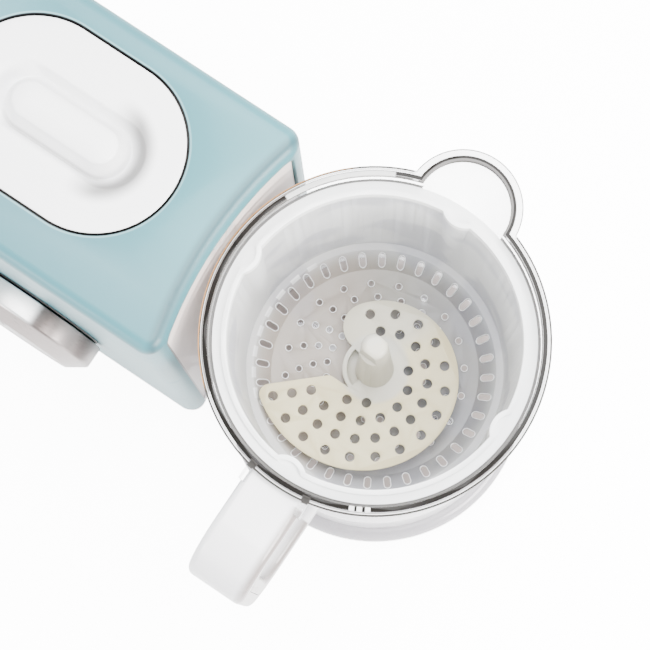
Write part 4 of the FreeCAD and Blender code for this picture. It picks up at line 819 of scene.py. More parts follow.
@dataclass
class Workshop:
    """Makes meshes and hands finished pieces to the frame.

    Edges of CAD nodes that are sharper than `sharp` degrees are eased.
    """

    palette: Palette
    sharp: float = 40.0
    eased_crease: float = 50.0

    def hand_over(self, name: str, mesh: bpy.types.Mesh, body: Body, slot: Slot, *nodes: str,
                  crease: float = 32.0) -> bpy.types.Object:
        """Turns a mesh into a finished piece.

        Args:
            name: the piece's name.
            mesh: its mesh, in the row frame.
            body: the body it rides on.
            slot: its finish.
            *nodes: CAD nodes that it stands for.
            crease: edges sharper than this stay sharp, in degrees.

        Returns:
            The piece.
        """
        mesh.name = name
        mesh.shade_smooth()
        mesh.set_sharp_from_angle(angle=math.radians(crease))
        mesh.materials.clear()
        mesh.materials.append(self.palette[slot])
        piece = linked(name, mesh)
        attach(piece, body.value)
        if nodes:
            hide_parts(*nodes)
        LOG.info("built %s on %s, %d faces", name, body.value, len(mesh.polygons))
        return piece

    @staticmethod
    def cad_mesh(node: str) -> bmesh.types.BMesh:
        """Merged copy of a CAD node's mesh.

        Args:
            node: the node's name.

        Returns:
            The mesh with welded corners and whole flat faces.
        """
        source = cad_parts[node].data.copy()
        custom = source.attributes.get("custom_normal")
        if custom:
            source.attributes.remove(custom)
        mesh = bmesh.new()
        mesh.from_mesh(source)
        bpy.data.meshes.remove(source)
        bmesh.ops.remove_doubles(mesh, verts=mesh.verts, dist=2 * WELD)
        bmesh.ops.dissolve_limit(mesh, angle_limit=FLAT, verts=mesh.verts, edges=mesh.edges)
        return mesh

    def eased(self, node: str, body: Body, slot: Slot, radius: float) -> bpy.types.Object:
        """CAD node with its sharp edges eased.

        Args:
            node: the node that the piece stands for.
            body: the body it rides on.
            slot: its finish.
            radius: width of the eased edge, in metres.

        Returns:
            The piece.
        """
        mesh = self.cad_mesh(node)
        limit = math.radians(self.sharp)
        edges = [e for e in mesh.edges if e.is_manifold and e.calc_face_angle(0.0) > limit]
        bmesh.ops.bevel(mesh, geom=edges, offset=radius, offset_type="OFFSET", segments=2, profile=0.5,
                        affect="EDGES", clamp_overlap=True, miter_outer="ARC")
        bmesh.ops.remove_doubles(mesh, verts=mesh.verts, dist=WELD)
        return self.hand_over(node + "_form", plain(mesh, node + "_form"), body, slot, node,
                              crease=self.eased_crease)

    @staticmethod
    def rounded(corners: Sequence[Triple], steps: int = 5) -> list[Pair]:
        """Outline whose corners are rounded by arcs.

        Args:
            corners: across, along and radius of each corner.
            steps: arc points per corner.

        Returns:
            Points of the outline.
        """
        points = []
        for index, (across, along, radius) in enumerate(corners):
            here = Vector((across, along))
            if radius <= 0.0 or index in (0, len(corners) - 1):
                points.append((across, along))
                continue
            before = (Vector(corners[index - 1][:2]) - here).normalized()
            after = (Vector(corners[index + 1][:2]) - here).normalized()
            half = before.angle(after) / 2
            centre = here + (before + after).normalized() * (radius / math.sin(half))
            start = here + before * (radius / math.tan(half)) - centre
            stop = here + after * (radius / math.tan(half)) - centre
            turn = start.angle_signed(stop)
            for share in range(steps + 1):
                spoke = Matrix.Rotation(-turn * share / steps, 2) @ start
                points.append(tuple(centre + spoke))
        return points

    @staticmethod
    def turned(profile: Sequence[Pair], centre: Vector, axis: Axis,
               count: int = 96) -> bpy.types.Mesh:
        """Solid of revolution.

        Args:
            profile: radius and height pairs along the outline.
            centre: a point on the axis; heights count from it.
            axis: which way the axis runs, Z or Y.
            count: sides.

        Returns:
            The closed mesh.
        """
        rings = []
        for radius, height in profile:
            ring = []
            for index in range(count):
                angle = 2 * math.pi * index / count
                a, b = radius * math.cos(angle), radius * math.sin(angle)
                offset = (a, b, height) if axis is Axis.Z else (a, height, -b)
                ring.append(centre + Vector(offset))
            rings.append(ring)
        return Workshop.loft(rings)

    @staticmethod
    def loft(rings: Sequence[Sequence[Vector]]) -> bpy.types.Mesh:
        """Closed skin through rings of equal count.

        Args:
            rings: points of each ring, in order round it.

        Returns:
            The mesh, with its first and last ring closed.
        """
        mesh = bmesh.new()
        loops = [[mesh.verts.new(point) for point in ring] for ring in rings]
        count = len(loops[0])
        for low, high in zip(loops, loops[1:]):
            for index in range(count):
                after = (index + 1) % count
                mesh.faces.new((low[index], low[after], high[after], high[index]))
        mesh.faces.new(loops[0][::-1])
        mesh.faces.new(loops[-1])
        bmesh.ops.remove_doubles(mesh, verts=mesh.verts, dist=WELD)
        bmesh.ops.recalc_face_normals(mesh, faces=mesh.faces)
        return plain(mesh, "loft")


class NodeTree:
    """Builds one Geometry Nodes tree and runs it once."""

    def __init__(self, name: str) -> None:
        """Starts a tree with a geometry input and output.

        Args:
            name: the tree's name.
        """
        self.tree = bpy.data.node_groups.new(name, "GeometryNodeTree")
        self.tree.interface.new_socket("Geometry", in_out="INPUT", socket_type="NodeSocketGeometry")
        self.tree.interface.new_socket("Geometry", in_out="OUTPUT", socket_type="NodeSocketGeometry")
        self.start = self.tree.nodes.new("NodeGroupInput")
        self.end = self.tree.nodes.new("NodeGroupOutput")
        self.values: dict[str, object] = {}

    def input(self, name: str, kind: str, value: object) -> bpy.types.NodeSocket:
        """Adds a named input.

        Args:
            name: the input's name.
            kind: its socket type.
            value: the value that the modifier gets.

        Returns:
            The input's socket inside the tree.
        """
        socket = self.tree.interface.new_socket(name, in_out="INPUT", socket_type=kind)
        self.values[socket.identifier] = value
        return next(s for s in self.start.outputs if s.identifier == socket.identifier)

    def node(self, kind: str, settings: Optional[dict[str, object]] = None,
             sockets: Optional[dict[Key, object]] = None) -> bpy.types.Node:
        """Adds a node.

        Args:
            kind: the node's type.
            settings: properties that are set first.
            sockets: values or links of its inputs.

        Returns:
            The node.
        """
        node = self.tree.nodes.new(kind)
        for key, value in (settings or {}).items():
            setattr(node, key, value)
        for key, value in (sockets or {}).items():
            target = node.inputs[key]
            if isinstance(value, bpy.types.NodeSocket):
                self.tree.links.new(value, target)
            else:
                target.default_value = value
        return node

    def run(self, geometry: bpy.types.NodeSocket, points: bpy.types.Mesh,
            material: bpy.types.Material) -> bpy.types.Mesh:
        """Ends the tree, evaluates it on a mesh of points and keeps the result.

        Args:
            geometry: the instances that the tree has made.
            points: the mesh that the modifier sits on.
            material: the finish of the result.

        Returns:
            A plain mesh.
        """
        finish = self.input("Finish", "NodeSocketMaterial", material)
        real = self.node("GeometryNodeRealizeInstances", None, {0: geometry})
        dressed = self.node("GeometryNodeSetMaterial", None,
                            {"Geometry": real.outputs[0], "Material": finish})
        self.tree.links.new(dressed.outputs[0], self.end.inputs[0])
        carrier = linked("carrier", points)
        modifier = carrier.modifiers.new("nodes", "NODES")
        modifier.node_group = self.tree
        for identifier, value in self.values.items():
            modifier[identifier] = value
        graph = bpy.context.evaluated_depsgraph_get()
        mesh = bpy.data.meshes.new_from_object(carrier.evaluated_get(graph))
        carrier.modifiers.remove(modifier)
        bpy.data.objects.remove(carrier)
        return mesh


def island_boxes(node: str) -> list[tuple[Vector, Vector]]:
    """Boxes of the separate solids of a CAD node.

    Args:
        node: a node that groups several solids.

    Returns:
        Lowest and highest corner of each solid.
    """
    mesh = Workshop.cad_mesh(node)
    left = set(mesh.verts)
    boxes = []
    while left:
        front = [left.pop()]
        island = list(front)
        while front:
            vertex = front.pop()
            for edge in vertex.link_edges:
                other = edge.other_vert(vertex)
                if other in left:
                    left.remove(other)
                    front.append(other)
                    island.append(other)
        low = Vector([min(v.co[axis] for v in island) for axis in range(3)])
        high = Vector([max(v.co[axis] for v in island) for axis in range(3)])
        boxes.append((low, high))
    mesh.free()
    return sorted(boxes, key=lambda pair: tuple(pair[0]))


@dataclass
class Screws:
    """Pan-head screws with a cross recess, set by a node tree at the CAD screws' places."""

    node: str
    body: Body
    along: Vector
    head: float = 1.8 * MM
    dome: Triple = (0.55, 0.55, 0.3)
    shank_radius: float = 1.5 * MM
    pitch: float = 1.1 * MM
    root: float = 0.78
    thread: Pair = (0.35, 0.7)
    tip: Pair = (0.7, 0.4 * MM)
    recess: float = 0.9 * MM
    cross: Pair = (0.988, 0.26)
    sides: int = 28

    def master(self, head_radius: float, length: float) -> bpy.types.Mesh:
        """One screw along +Z with its head's outer face at the origin.

        Args:
            head_radius: radius of the head.
            length: overall length.

        Returns:
            The screw's mesh.
        """
        head, shank = self.head, self.shank_radius
        flat, side, bend = self.dome
        outline = [(0.0, -head, 0.0), (head_radius * flat, -head, 0.0),
                   (head_radius, -head * side, head * bend), (head_radius, 0.0, 0.0), (shank, 0.0, 0.0)]
        profile = Workshop.rounded(outline, 4)
        for turn in range(int((length - head) / self.pitch) - 1):
            low = turn * self.pitch
            profile += [(shank * self.root, low + self.pitch * self.thread[0]),
                        (shank, low + self.pitch * self.thread[1])]
        profile += [(shank * self.tip[0], length - head - self.tip[1]), (0.0, length - head)]
        mesh = Workshop.turned(profile, Vector((0.0, 0.0, head)), Axis.Z, self.sides)
        cross = bmesh.new()
        for across, along in (self.cross, self.cross[::-1]):
            reach = (across * head_radius, along * head_radius, 2 * self.recess, 1.0)
            bmesh.ops.create_cube(cross, size=1.0, matrix=Matrix.Diagonal(reach))
        return cut_by(mesh, plain(cross, "cross"))

    def build(self, shop: Workshop) -> None:
        """Builds the screws in place of their node.

        Args:
            shop: the workshop.
        """
        boxes = island_boxes(self.node)
        size = boxes[0][1] - boxes[0][0]
        main = max(range(3), key=lambda axis: abs(self.along[axis]))
        across = max(size[axis] for axis in range(3) if axis != main)
        points = bpy.data.meshes.new("screw_places")
        places = []
        for low, high in boxes:
            place = (low + high) / 2
            place[main] = low[main] if self.along[main] > 0 else high[main]
            places.append(place)
        points.from_pydata(places, [], [])
        holder = linked("screw_master", self.master(across / 2, size[main]))
        tree = NodeTree(self.node + "_nodes")
        screw = tree.input("Screw", "NodeSocketObject", holder)
        along = tree.input("Along", "NodeSocketVector", tuple(self.along))
        info = tree.node("GeometryNodeObjectInfo", None, {"Object": screw})
        turn = tree.node("FunctionNodeAlignRotationToVector", {"axis": "Z"}, {"Vector": along})
        placed = tree.node("GeometryNodeInstanceOnPoints", None,
                           {"Points": tree.start.outputs[0], "Instance": info.outputs["Geometry"],
                            "Rotation": turn.outputs[0]})
        mesh = tree.run(placed.outputs[0], points, shop.palette[Slot.DARK_STEEL])
        bpy.data.objects.remove(holder)
        shop.hand_over(self.node + "_form", mesh, self.body, Slot.DARK_STEEL, self.node)


def cut_by(mesh: bpy.types.Mesh, cutter: bpy.types.Mesh) -> bpy.types.Mesh:
    """Cuts one mesh out of another.

    Args:
        mesh: what is cut.
        cutter: closed mesh that is taken away; may hold several islands.

    Returns:
        The cut mesh.
    """
    holder = linked("cut", mesh)
    tool = linked("cutter", cutter)
    modifier = holder.modifiers.new("cut", "BOOLEAN")
    modifier.object = tool
    modifier.operation = "DIFFERENCE"
    modifier.solver = "EXACT"
    modifier.use_self = True
    graph = bpy.context.evaluated_depsgraph_get()
    result = bpy.data.meshes.new_from_object(holder.evaluated_get(graph))
    for item in (holder, tool):
        bpy.data.objects.remove(item)
    return result


@dataclass
class Assembly:
    """Sub-assembly of built pieces and of CAD nodes that keep their own meshes."""

    dressing: ClassVar[Dressing] = {}

    def dress(self, palette: Palette) -> None:
        """Gives a finish to the CAD nodes that keep their own meshes.

        Args:
            palette: the object's finishes.
        """
        for slot, nodes in self.dressing.items():
            palette.dress(slot, *nodes)


@dataclass
class Tower(Assembly):
    """Teal tower with its side panel and back fittings."""

    ease: float = 0.35 * MM
    dressing: ClassVar[Dressing] = {
        Slot.PANEL: ("steam_nozzle",),
        Slot.SILICONE: ("nozzle_seal", "steam_tube"),
        Slot.DARK: ("dial_ring", "selector_switch", "board_parts", "thermostat"),
        Slot.BOARD: ("control_board",),
        Slot.STEEL: ("boiler_tank",),
        Slot.ALUMINIUM: ("heater_plate",),
        Slot.DARK_STEEL: ("heating_element",),
        Slot.WHITE: ("thermal_fuse",),
    }

    def build(self, shop: Workshop) -> None:
        """Builds the shell, the panel and the cord's gland.

        Args:
            shop: the workshop.
        """
        shop.eased("tower_shell", Body.BASE, Slot.TEAL, self.ease)
        shop.eased("side_panel", Body.BASE, Slot.PANEL, self.ease)
        shop.eased("cord_gland", Body.BASE, Slot.RUBBER, self.ease)


@dataclass
class TankLid(Assembly):
    """White tank lid: a flush stadium plate with a loaf grip standing in a soft dish."""

    grip: Pair = (50.0 * MM, 20.0 * MM)
    grip_taper: float = 3.0 * MM
    grip_round: float = 2.0 * MM
    grip_turn: float = 78.0
    grip_steps: int = 8
    crown: float = 0.5 * MM
    crown_shares: Shares = (0.0, 0.15, 0.35, 0.55, 0.75, 0.9)
    side_shares: Shares = (0.25, 0.5, 0.75, 1.0)
    dish: Pair = (64.0 * MM, 27.0 * MM)
    dish_depth: float = 7.2 * MM
    dish_steps: int = 24
    dish_ease: float = 0.8
    fillet: float = 1.6 * MM
    fillet_fade: float = 14.0
    flat_shares: Shares = (0.2, 0.5, 0.8)
    plate_wall: float = 3.0 * MM
    plug_inset: float = 4.6 * MM
    seal_height: float = 3.0 * MM
    edge_round: float = 0.5 * MM
    edge_steps: int = 5
    closing: float = 0.02 * MM
    count: int = 144
    dressing: ClassVar[Dressing] = {Slot.SILICONE: ("lid_seal",)}

    def ring(self, middle: Vector, half_length: float, half_width: float, z: float) -> list[Vector]:
        """Stadium at one height.

        Args:
            middle: the lid's middle.
            half_length: half of its length.
            half_width: half of its width.
            z: height.

        Returns:
            Points round the stadium.
        """
        straight = max(half_length - half_width, 0.0)
        points = []
        for index in range(self.count):
            angle = 2 * math.pi * (index + 0.5) / self.count
            side = math.copysign(straight, math.cos(angle))
            points.append(Vector((middle.x + side + half_width * math.cos(angle),
                                  middle.y + half_width * math.sin(angle), z)))
        return points

    def grip_rings(self, middle: Vector, top: float, floor: float) -> list[list[Vector]]:
        """Crowned top, rounded edge and leaning side of the grip.

        Args:
            middle: the lid's middle.
            top: height of the grip's top.
            floor: height of the dish's floor.

        Returns:
            Rings from the top's middle to the grip's foot.
        """
        ga, gb = self.grip[0] / 2, self.grip[1] / 2
        rings = []
        for share in self.crown_shares:
            width = (gb - (self.grip_taper + self.grip_round)) * share
            rings.append(self.ring(middle, ga - gb + width, max(width, self.closing),
                                   top - self.crown * share ** 2))
        for step in range(1, self.grip_steps + 1):
            angle = step / self.grip_steps * math.radians(self.grip_turn)
            inset = self.grip_taper + self.grip_round * (1 - math.sin(angle))
            drop = self.crown + self.grip_round * (1 - math.cos(angle))
            rings.append(self.ring(middle, ga - inset, gb - inset, top - drop))
        side = top - self.crown - self.grip_round * (1 - math.cos(math.radians(self.grip_turn)))
        foot = floor + self.fillet
        for share in self.side_shares:
            inset = self.grip_taper * (1 - share)
            rings.append(self.ring(middle, ga - inset, gb - inset, side + (foot - side) * share))
        return rings

    def plate_rings(self, middle: Vector, half: Pair, shell_top: float, floor: float) -> list[list[Vector]]:
        """Dish, flat plate and rounded edge.

        Args:
            middle: the lid's middle.
            half: half of the lid's length and width.
            shell_top: height of the plate's top.
            floor: height of the dish's floor.

        Returns:
            Rings from the grip's foot to the plate's side.
        """
        a, b = half
        ga, gb = self.grip[0] / 2, self.grip[1] / 2
        da, db = self.dish[0] / 2, self.dish[1] / 2
        rings = []
        for step in range(1, self.dish_steps + 1):
            share = step / self.dish_steps
            height = (1 - math.cos(math.pi * share ** self.dish_ease)) / 2
            fillet = self.fillet * math.exp(-share * self.fillet_fade)
            rings.append(self.ring(middle, ga + (da - ga) * share, gb + (db - gb) * share,
                                   floor + fillet + (shell_top - floor - fillet) * height))
        for share in self.flat_shares:
            rings.append(self.ring(middle, da + (a - da) * share, db + (b - db) * share, shell_top))
        for step in range(self.edge_steps + 1):
            angle = step / self.edge_steps * math.pi / 2
            inset = self.edge_round * (1 - math.sin(angle))
            rings.append(self.ring(middle, a - inset, b - inset,
                                   shell_top - self.edge_round * (1 - math.cos(angle))))
        return rings

    def plug_rings(self, middle: Vector, half: Pair, under: float, bottom: float) -> list[list[Vector]]:
        """Plate's underside and the plug with its seal's groove.

        Args:
            middle: the lid's middle.
            half: half of the lid's length and width.
            under: height of the plate's underside.
            bottom: height of the plug's bottom.

        Returns:
            Rings from the plate's side to the bottom's middle.
        """
        a, b = half
        plug = self.plug_inset
        seal = (under + bottom) / 2
        groove = self.seal_height / 2
        rings = []
        for inset, z in ((0.0, under), (plug, under), (plug, seal + groove), (plug + groove, seal + groove),
                         (plug + groove, seal - groove), (plug, seal - groove),
                         (plug, bottom + self.edge_round), (plug + self.edge_round, bottom)):
            rings.append(self.ring(middle, a - inset, b - inset, z))
        pa, pb = a - plug, b - plug
        rings.append(self.ring(middle, pa - pb + self.closing, self.closing, bottom))
        return rings

    def build(self, shop: Workshop) -> None:
        """Builds the lid in place of its node.

        Args:
            shop: the workshop.
        """
        low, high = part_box("tank_lid")
        shell_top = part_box("tower_shell")[1].z
        middle = (low + high) / 2
        half = ((high.x - low.x) / 2, (high.y - low.y) / 2)
        floor = shell_top - self.dish_depth
        rings = (self.grip_rings(middle, high.z, floor) + self.plate_rings(middle, half, shell_top, floor)
                 + self.plug_rings(middle, half, shell_top - self.plate_wall, low.z))
        shop.hand_over("tank_lid_form", shop.loft(rings), Body.LID, Slot.LID, "tank_lid")


@dataclass
class Selector(Assembly):
    """Selector knob with its face and pointer."""

    bevel: float = 5.0 * MM
    bevel_reach: float = 7.4 * MM
    bevel_round: float = 1.6 * MM
    edge_round: float = 0.3 * MM
    back_round: float = 0.4 * MM
    bore_round: float = 0.5 * MM
    wall: float = 2.4 * MM
    gap: float = 0.15 * MM
    face_flat: float = 0.8
    face_drop: float = 0.25 * MM
    face_rounds: Pair = (2.0 * MM, 0.2 * MM)
    pointer: Triple = (1.6 * MM, 0.9 * MM, 9.0 * MM)
    pointer_inset: float = 1.5 * MM
    pointer_ease: float = 0.2 * MM
    sides: int = 160
    face_sides: int = 128
    dressing: ClassVar[Dressing] = {Slot.WHITE: ("knob_shaft",)}

    def build(self, shop: Workshop) -> None:
        """Builds the knob and its face in place of their nodes.

        Args:
            shop: the workshop.
        """
        low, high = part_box("control_knob")
        axis = Vector(((low.x + high.x) / 2, low.y, (low.z + high.z) / 2))
        radius = (high.x - low.x) / 2
        depth = high.y - low.y
        face_low, face_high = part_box("knob_face")
        face = (face_high.x - face_low.x) / 2
        sink = face_high.y - face_low.y
        recess = face + self.gap
        bore, back = radius - self.wall, self.bevel + self.wall
        outline = [(0.0, sink, 0.0), (recess, sink, 0.0), (recess, 0.0, self.edge_round),
                   (radius - self.bevel_reach, 0.0, self.bevel_round), (radius, self.bevel, self.bevel_round),
                   (radius, depth, self.back_round), (bore, depth, self.edge_round),
                   (bore, back, self.bore_round), (0.0, back, 0.0)]
        knob = shop.turned(shop.rounded(outline), axis, Axis.Y, self.sides)
        shop.hand_over("control_knob_form", knob, Body.KNOB, Slot.SILVER, "control_knob")
        disc = [(0.0, 0.0, 0.0), (face * self.face_flat, 0.0, self.face_rounds[0]),
                (face, self.face_drop, self.face_rounds[1]), (face, sink, 0.0), (0.0, sink, 0.0)]
        mesh = shop.turned(shop.rounded(disc), axis, Axis.Y, self.face_sides)
        mark = bmesh.new()
        middle = axis + Vector((0.0, 0.0, face - self.pointer[2] / 2 - self.pointer_inset))
        bmesh.ops.create_cube(mark, size=1.0, matrix=Matrix.Translation(middle)
                              @ Matrix.Diagonal((*self.pointer, 1.0)))
        bmesh.ops.bevel(mark, geom=mark.edges, offset=self.pointer_ease, segments=2, affect="EDGES")
        face_mesh = cut_by(mesh, plain(mark, "pointer"))
        shop.hand_over("knob_face_form", face_mesh, Body.KNOB, Slot.SILVER, "knob_face")


@dataclass
class MotorBase(Assembly):
    """Round base with its tray, feet and the motor inside."""

    ease: float = 0.4 * MM
    foot_ease: float = 0.8 * MM
    dressing: ClassVar[Dressing] = {
        Slot.DARK_STEEL: ("motor_can", "rotor_core"),
        Slot.DARK: ("motor_end_cap", "cooling_fan", "drive_coupler"),
        Slot.MAGNET: ("motor_magnets", "motor_brushes"),
        Slot.COPPER: ("upper_bearing", "lower_bearing", "rotor_windings", "commutator"),
        Slot.RUBBER: ("motor_mounts", "shaft_seal"),
        Slot.STEEL: ("motor_shaft",),
    }

    def build(self, shop: Workshop) -> None:
        """Builds the housings, the feet and the screws.

        Args:
            shop: the workshop.
        """
        shop.eased("base_tray", Body.BASE, Slot.WHITE, self.ease)
        shop.eased("motor_base", Body.BASE, Slot.WHITE, self.ease)
        shop.eased("rubber_feet", Body.BASE, Slot.RUBBER, self.foot_ease)
        Screws("base_screws", Body.BASE, Vector((0, 0, 1))).build(shop)
        Screws("motor_screws", Body.BASE, Vector((0, 0, -1))).build(shop)


@dataclass
class BowlSet(Assembly):
    """Clear bowl with its handle and blade."""

    ease: float = 0.25 * MM
    dressing: ClassVar[Dressing] = {
        Slot.COPPER: ("blade_bush",),
        Slot.RUBBER: ("blade_seal",),
        Slot.STEEL: ("blade_shaft", "cutting_blades"),
        Slot.WHITE: ("blade_hub",),
        Slot.DARK: ("blade_coupler",),
    }

    def build(self, shop: Workshop) -> None:
        """Builds the bowl, the handle and its screws.

        Args:
            shop: the workshop.
        """
        shop.eased("bowl", Body.BOWL, Slot.CLEAR, self.ease)
        shop.eased("handle_outer", Body.BOWL, Slot.WHITE, self.ease)
        shop.eased("handle_inner", Body.BOWL, Slot.WHITE, self.ease)
        Screws("handle_screws", Body.BOWL, Vector((0, -1, 0))).build(shop)


@dataclass
class Lips:
    """Raised lips round a circle of holes, in the bright lid finish, so that their brightness is partly the
    lip itself and partly a painted highlight: outlines that a node tree lifts on to a cone and sweeps.
    """

    name: str
    count: int
    radius: float
    length: float
    width: float
    slope: float
    turn: float
    wire: float = 0.2 * MM
    bend_share: float = 0.499
    bend_points: int = 9
    bead_sides: int = 6
    crease: float = 60.0

    def build(self, shop: Workshop, centre: Vector) -> None:
        """Builds the lips on the basket.

        Args:
            shop: the workshop.
            centre: the holes' common centre, at the level of their middles.
        """
        tree = NodeTree(self.name + "_nodes")
        count = tree.input("Count", "NodeSocketInt", self.count)
        radius, length, width, slope, wire = (
            tree.input(name.title(), "NodeSocketFloat", getattr(self, name))
            for name in ("radius", "length", "width", "slope", "wire"))
        turn = tree.input("Turn", "NodeSocketRotation", (0.0, 0.0, self.turn))
        middle = tree.input("Centre", "NodeSocketVector", tuple(centre))
        circle = tree.node("GeometryNodeMeshCircle", None, {"Vertices": count, "Radius": radius})
        place = tree.node("GeometryNodeInputPosition").outputs[0]
        outward = tree.node("FunctionNodeAlignRotationToVector", {"axis": "X", "pivot_axis": "Z"},
                            {"Vector": place})
        half = tree.node("ShaderNodeMath", {"operation": "MULTIPLY"}, {0: width, 1: self.bend_share})
        outline = tree.node("GeometryNodeCurvePrimitiveQuadrilateral", None, {0: length, 1: width})
        bent = tree.node("GeometryNodeFilletCurve", {"mode": "POLY"},
                         {"Curve": outline.outputs[0], "Radius": half.outputs[0],
                          "Count": self.bend_points})
        placed = tree.node("GeometryNodeInstanceOnPoints", None,
                           {"Points": circle.outputs[0], "Instance": bent.outputs[0],
                            "Rotation": outward.outputs[0]})
        real = tree.node("GeometryNodeRealizeInstances", None, {0: placed.outputs[0]})
        reach = tree.node("ShaderNodeVectorMath", {"operation": "LENGTH"}, {0: place})
        beyond = tree.node("ShaderNodeMath", {"operation": "SUBTRACT"},
                           {0: reach.outputs["Value"], 1: radius})
        rise = tree.node("ShaderNodeMath", {"operation": "MULTIPLY"}, {0: beyond.outputs[0], 1: slope})
        lift = tree.node("ShaderNodeCombineXYZ", None, {"Z": rise.outputs[0]})
        lifted = tree.node("GeometryNodeSetPosition", None,
                           {"Geometry": real.outputs[0], "Offset": lift.outputs[0]})
        bead = tree.node("GeometryNodeCurvePrimitiveCircle", None,
                         {"Resolution": self.bead_sides, "Radius": wire})
        swept = tree.node("GeometryNodeCurveToMesh", None,
                          {"Curve": lifted.outputs[0], "Profile Curve": bead.outputs[0]})
        moved = tree.node("GeometryNodeTransform", None,
                          {"Geometry": swept.outputs[0], "Translation": middle, "Rotation": turn})
        points = bpy.data.meshes.new(self.name + "_start")
        # the white lid finish makes the lips' brightness partly a painted highlight
        mesh = tree.run(moved.outputs[0], points, shop.palette[Slot.LID])
        shop.hand_over(self.name, mesh, Body.BASKET, Slot.LID, crease=self.crease)


@dataclass
class Basket(Assembly):
    """Steam basket with lipped slots and drain holes, and its strainer plate."""

    ease: float = 0.5 * MM
    plate_ease: float = 0.3 * MM
    wall: float = 1.8 * MM
    cone_foot: float = 41.0 * MM
    cone_width: float = 6.6 * MM
    cone_height: float = 8.0 * MM
    slots: int = 36
    slot_length: float = 5.0 * MM
    slot_width: float = 2.7 * MM
    drain_rings: int = 4
    drains: int = 20
    drain_radius: float = 1.3 * MM
    drain_edge: float = 5.6 * MM
    drain_step: float = 5.4 * MM
    drain_swirl: float = -4.7
    drain_wire: float = 0.16 * MM

    def build(self, shop: Workshop) -> None:
        """Builds the basket, its lips and the plate.

        Args:
            shop: the workshop.
        """
        shop.eased("steam_basket", Body.BASKET, Slot.FROSTED, self.ease)
        shop.eased("strainer_plate", Body.STRAINER, Slot.BEIGE, self.plate_ease)
        floor = Vector((*bowl_axis(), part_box("steam_basket")[0].z + self.wall))
        middle = floor + Vector((0.0, 0.0, self.cone_height / 2))
        Lips("slot_lips", self.slots, self.cone_foot + self.cone_width / 2, self.slot_length, self.slot_width,
             self.cone_height / self.cone_width, 0.0).build(shop, middle)
        for ring in range(self.drain_rings):
            radius = self.cone_foot - self.drain_edge - ring * self.drain_step
            across = 2 * self.drain_radius
            Lips(f"drain_lips_{ring + 1}", self.drains, radius, across, across, 0.0,
                 math.radians(ring * self.drain_swirl), self.drain_wire).build(shop, floor)


@dataclass(frozen=True)
class SoftBox:
    """Square area light."""

    name: str
    place: Triple
    target: Triple
    size: float
    power: float
    colour: Colour = (1.0, 1.0, 1.0)

    def build(self) -> None:
        """Puts the light in its place and points it at its target."""
        data = bpy.data.lights.new(self.name, "AREA")
        data.size = self.size
        data.energy = self.power
        data.color = self.colour
        lamp = linked(self.name, data)
        lamp.location = self.place
        aim = Vector(self.target) - Vector(self.place)
        lamp.rotation_euler = aim.to_track_quat("-Z", "Y").to_euler()


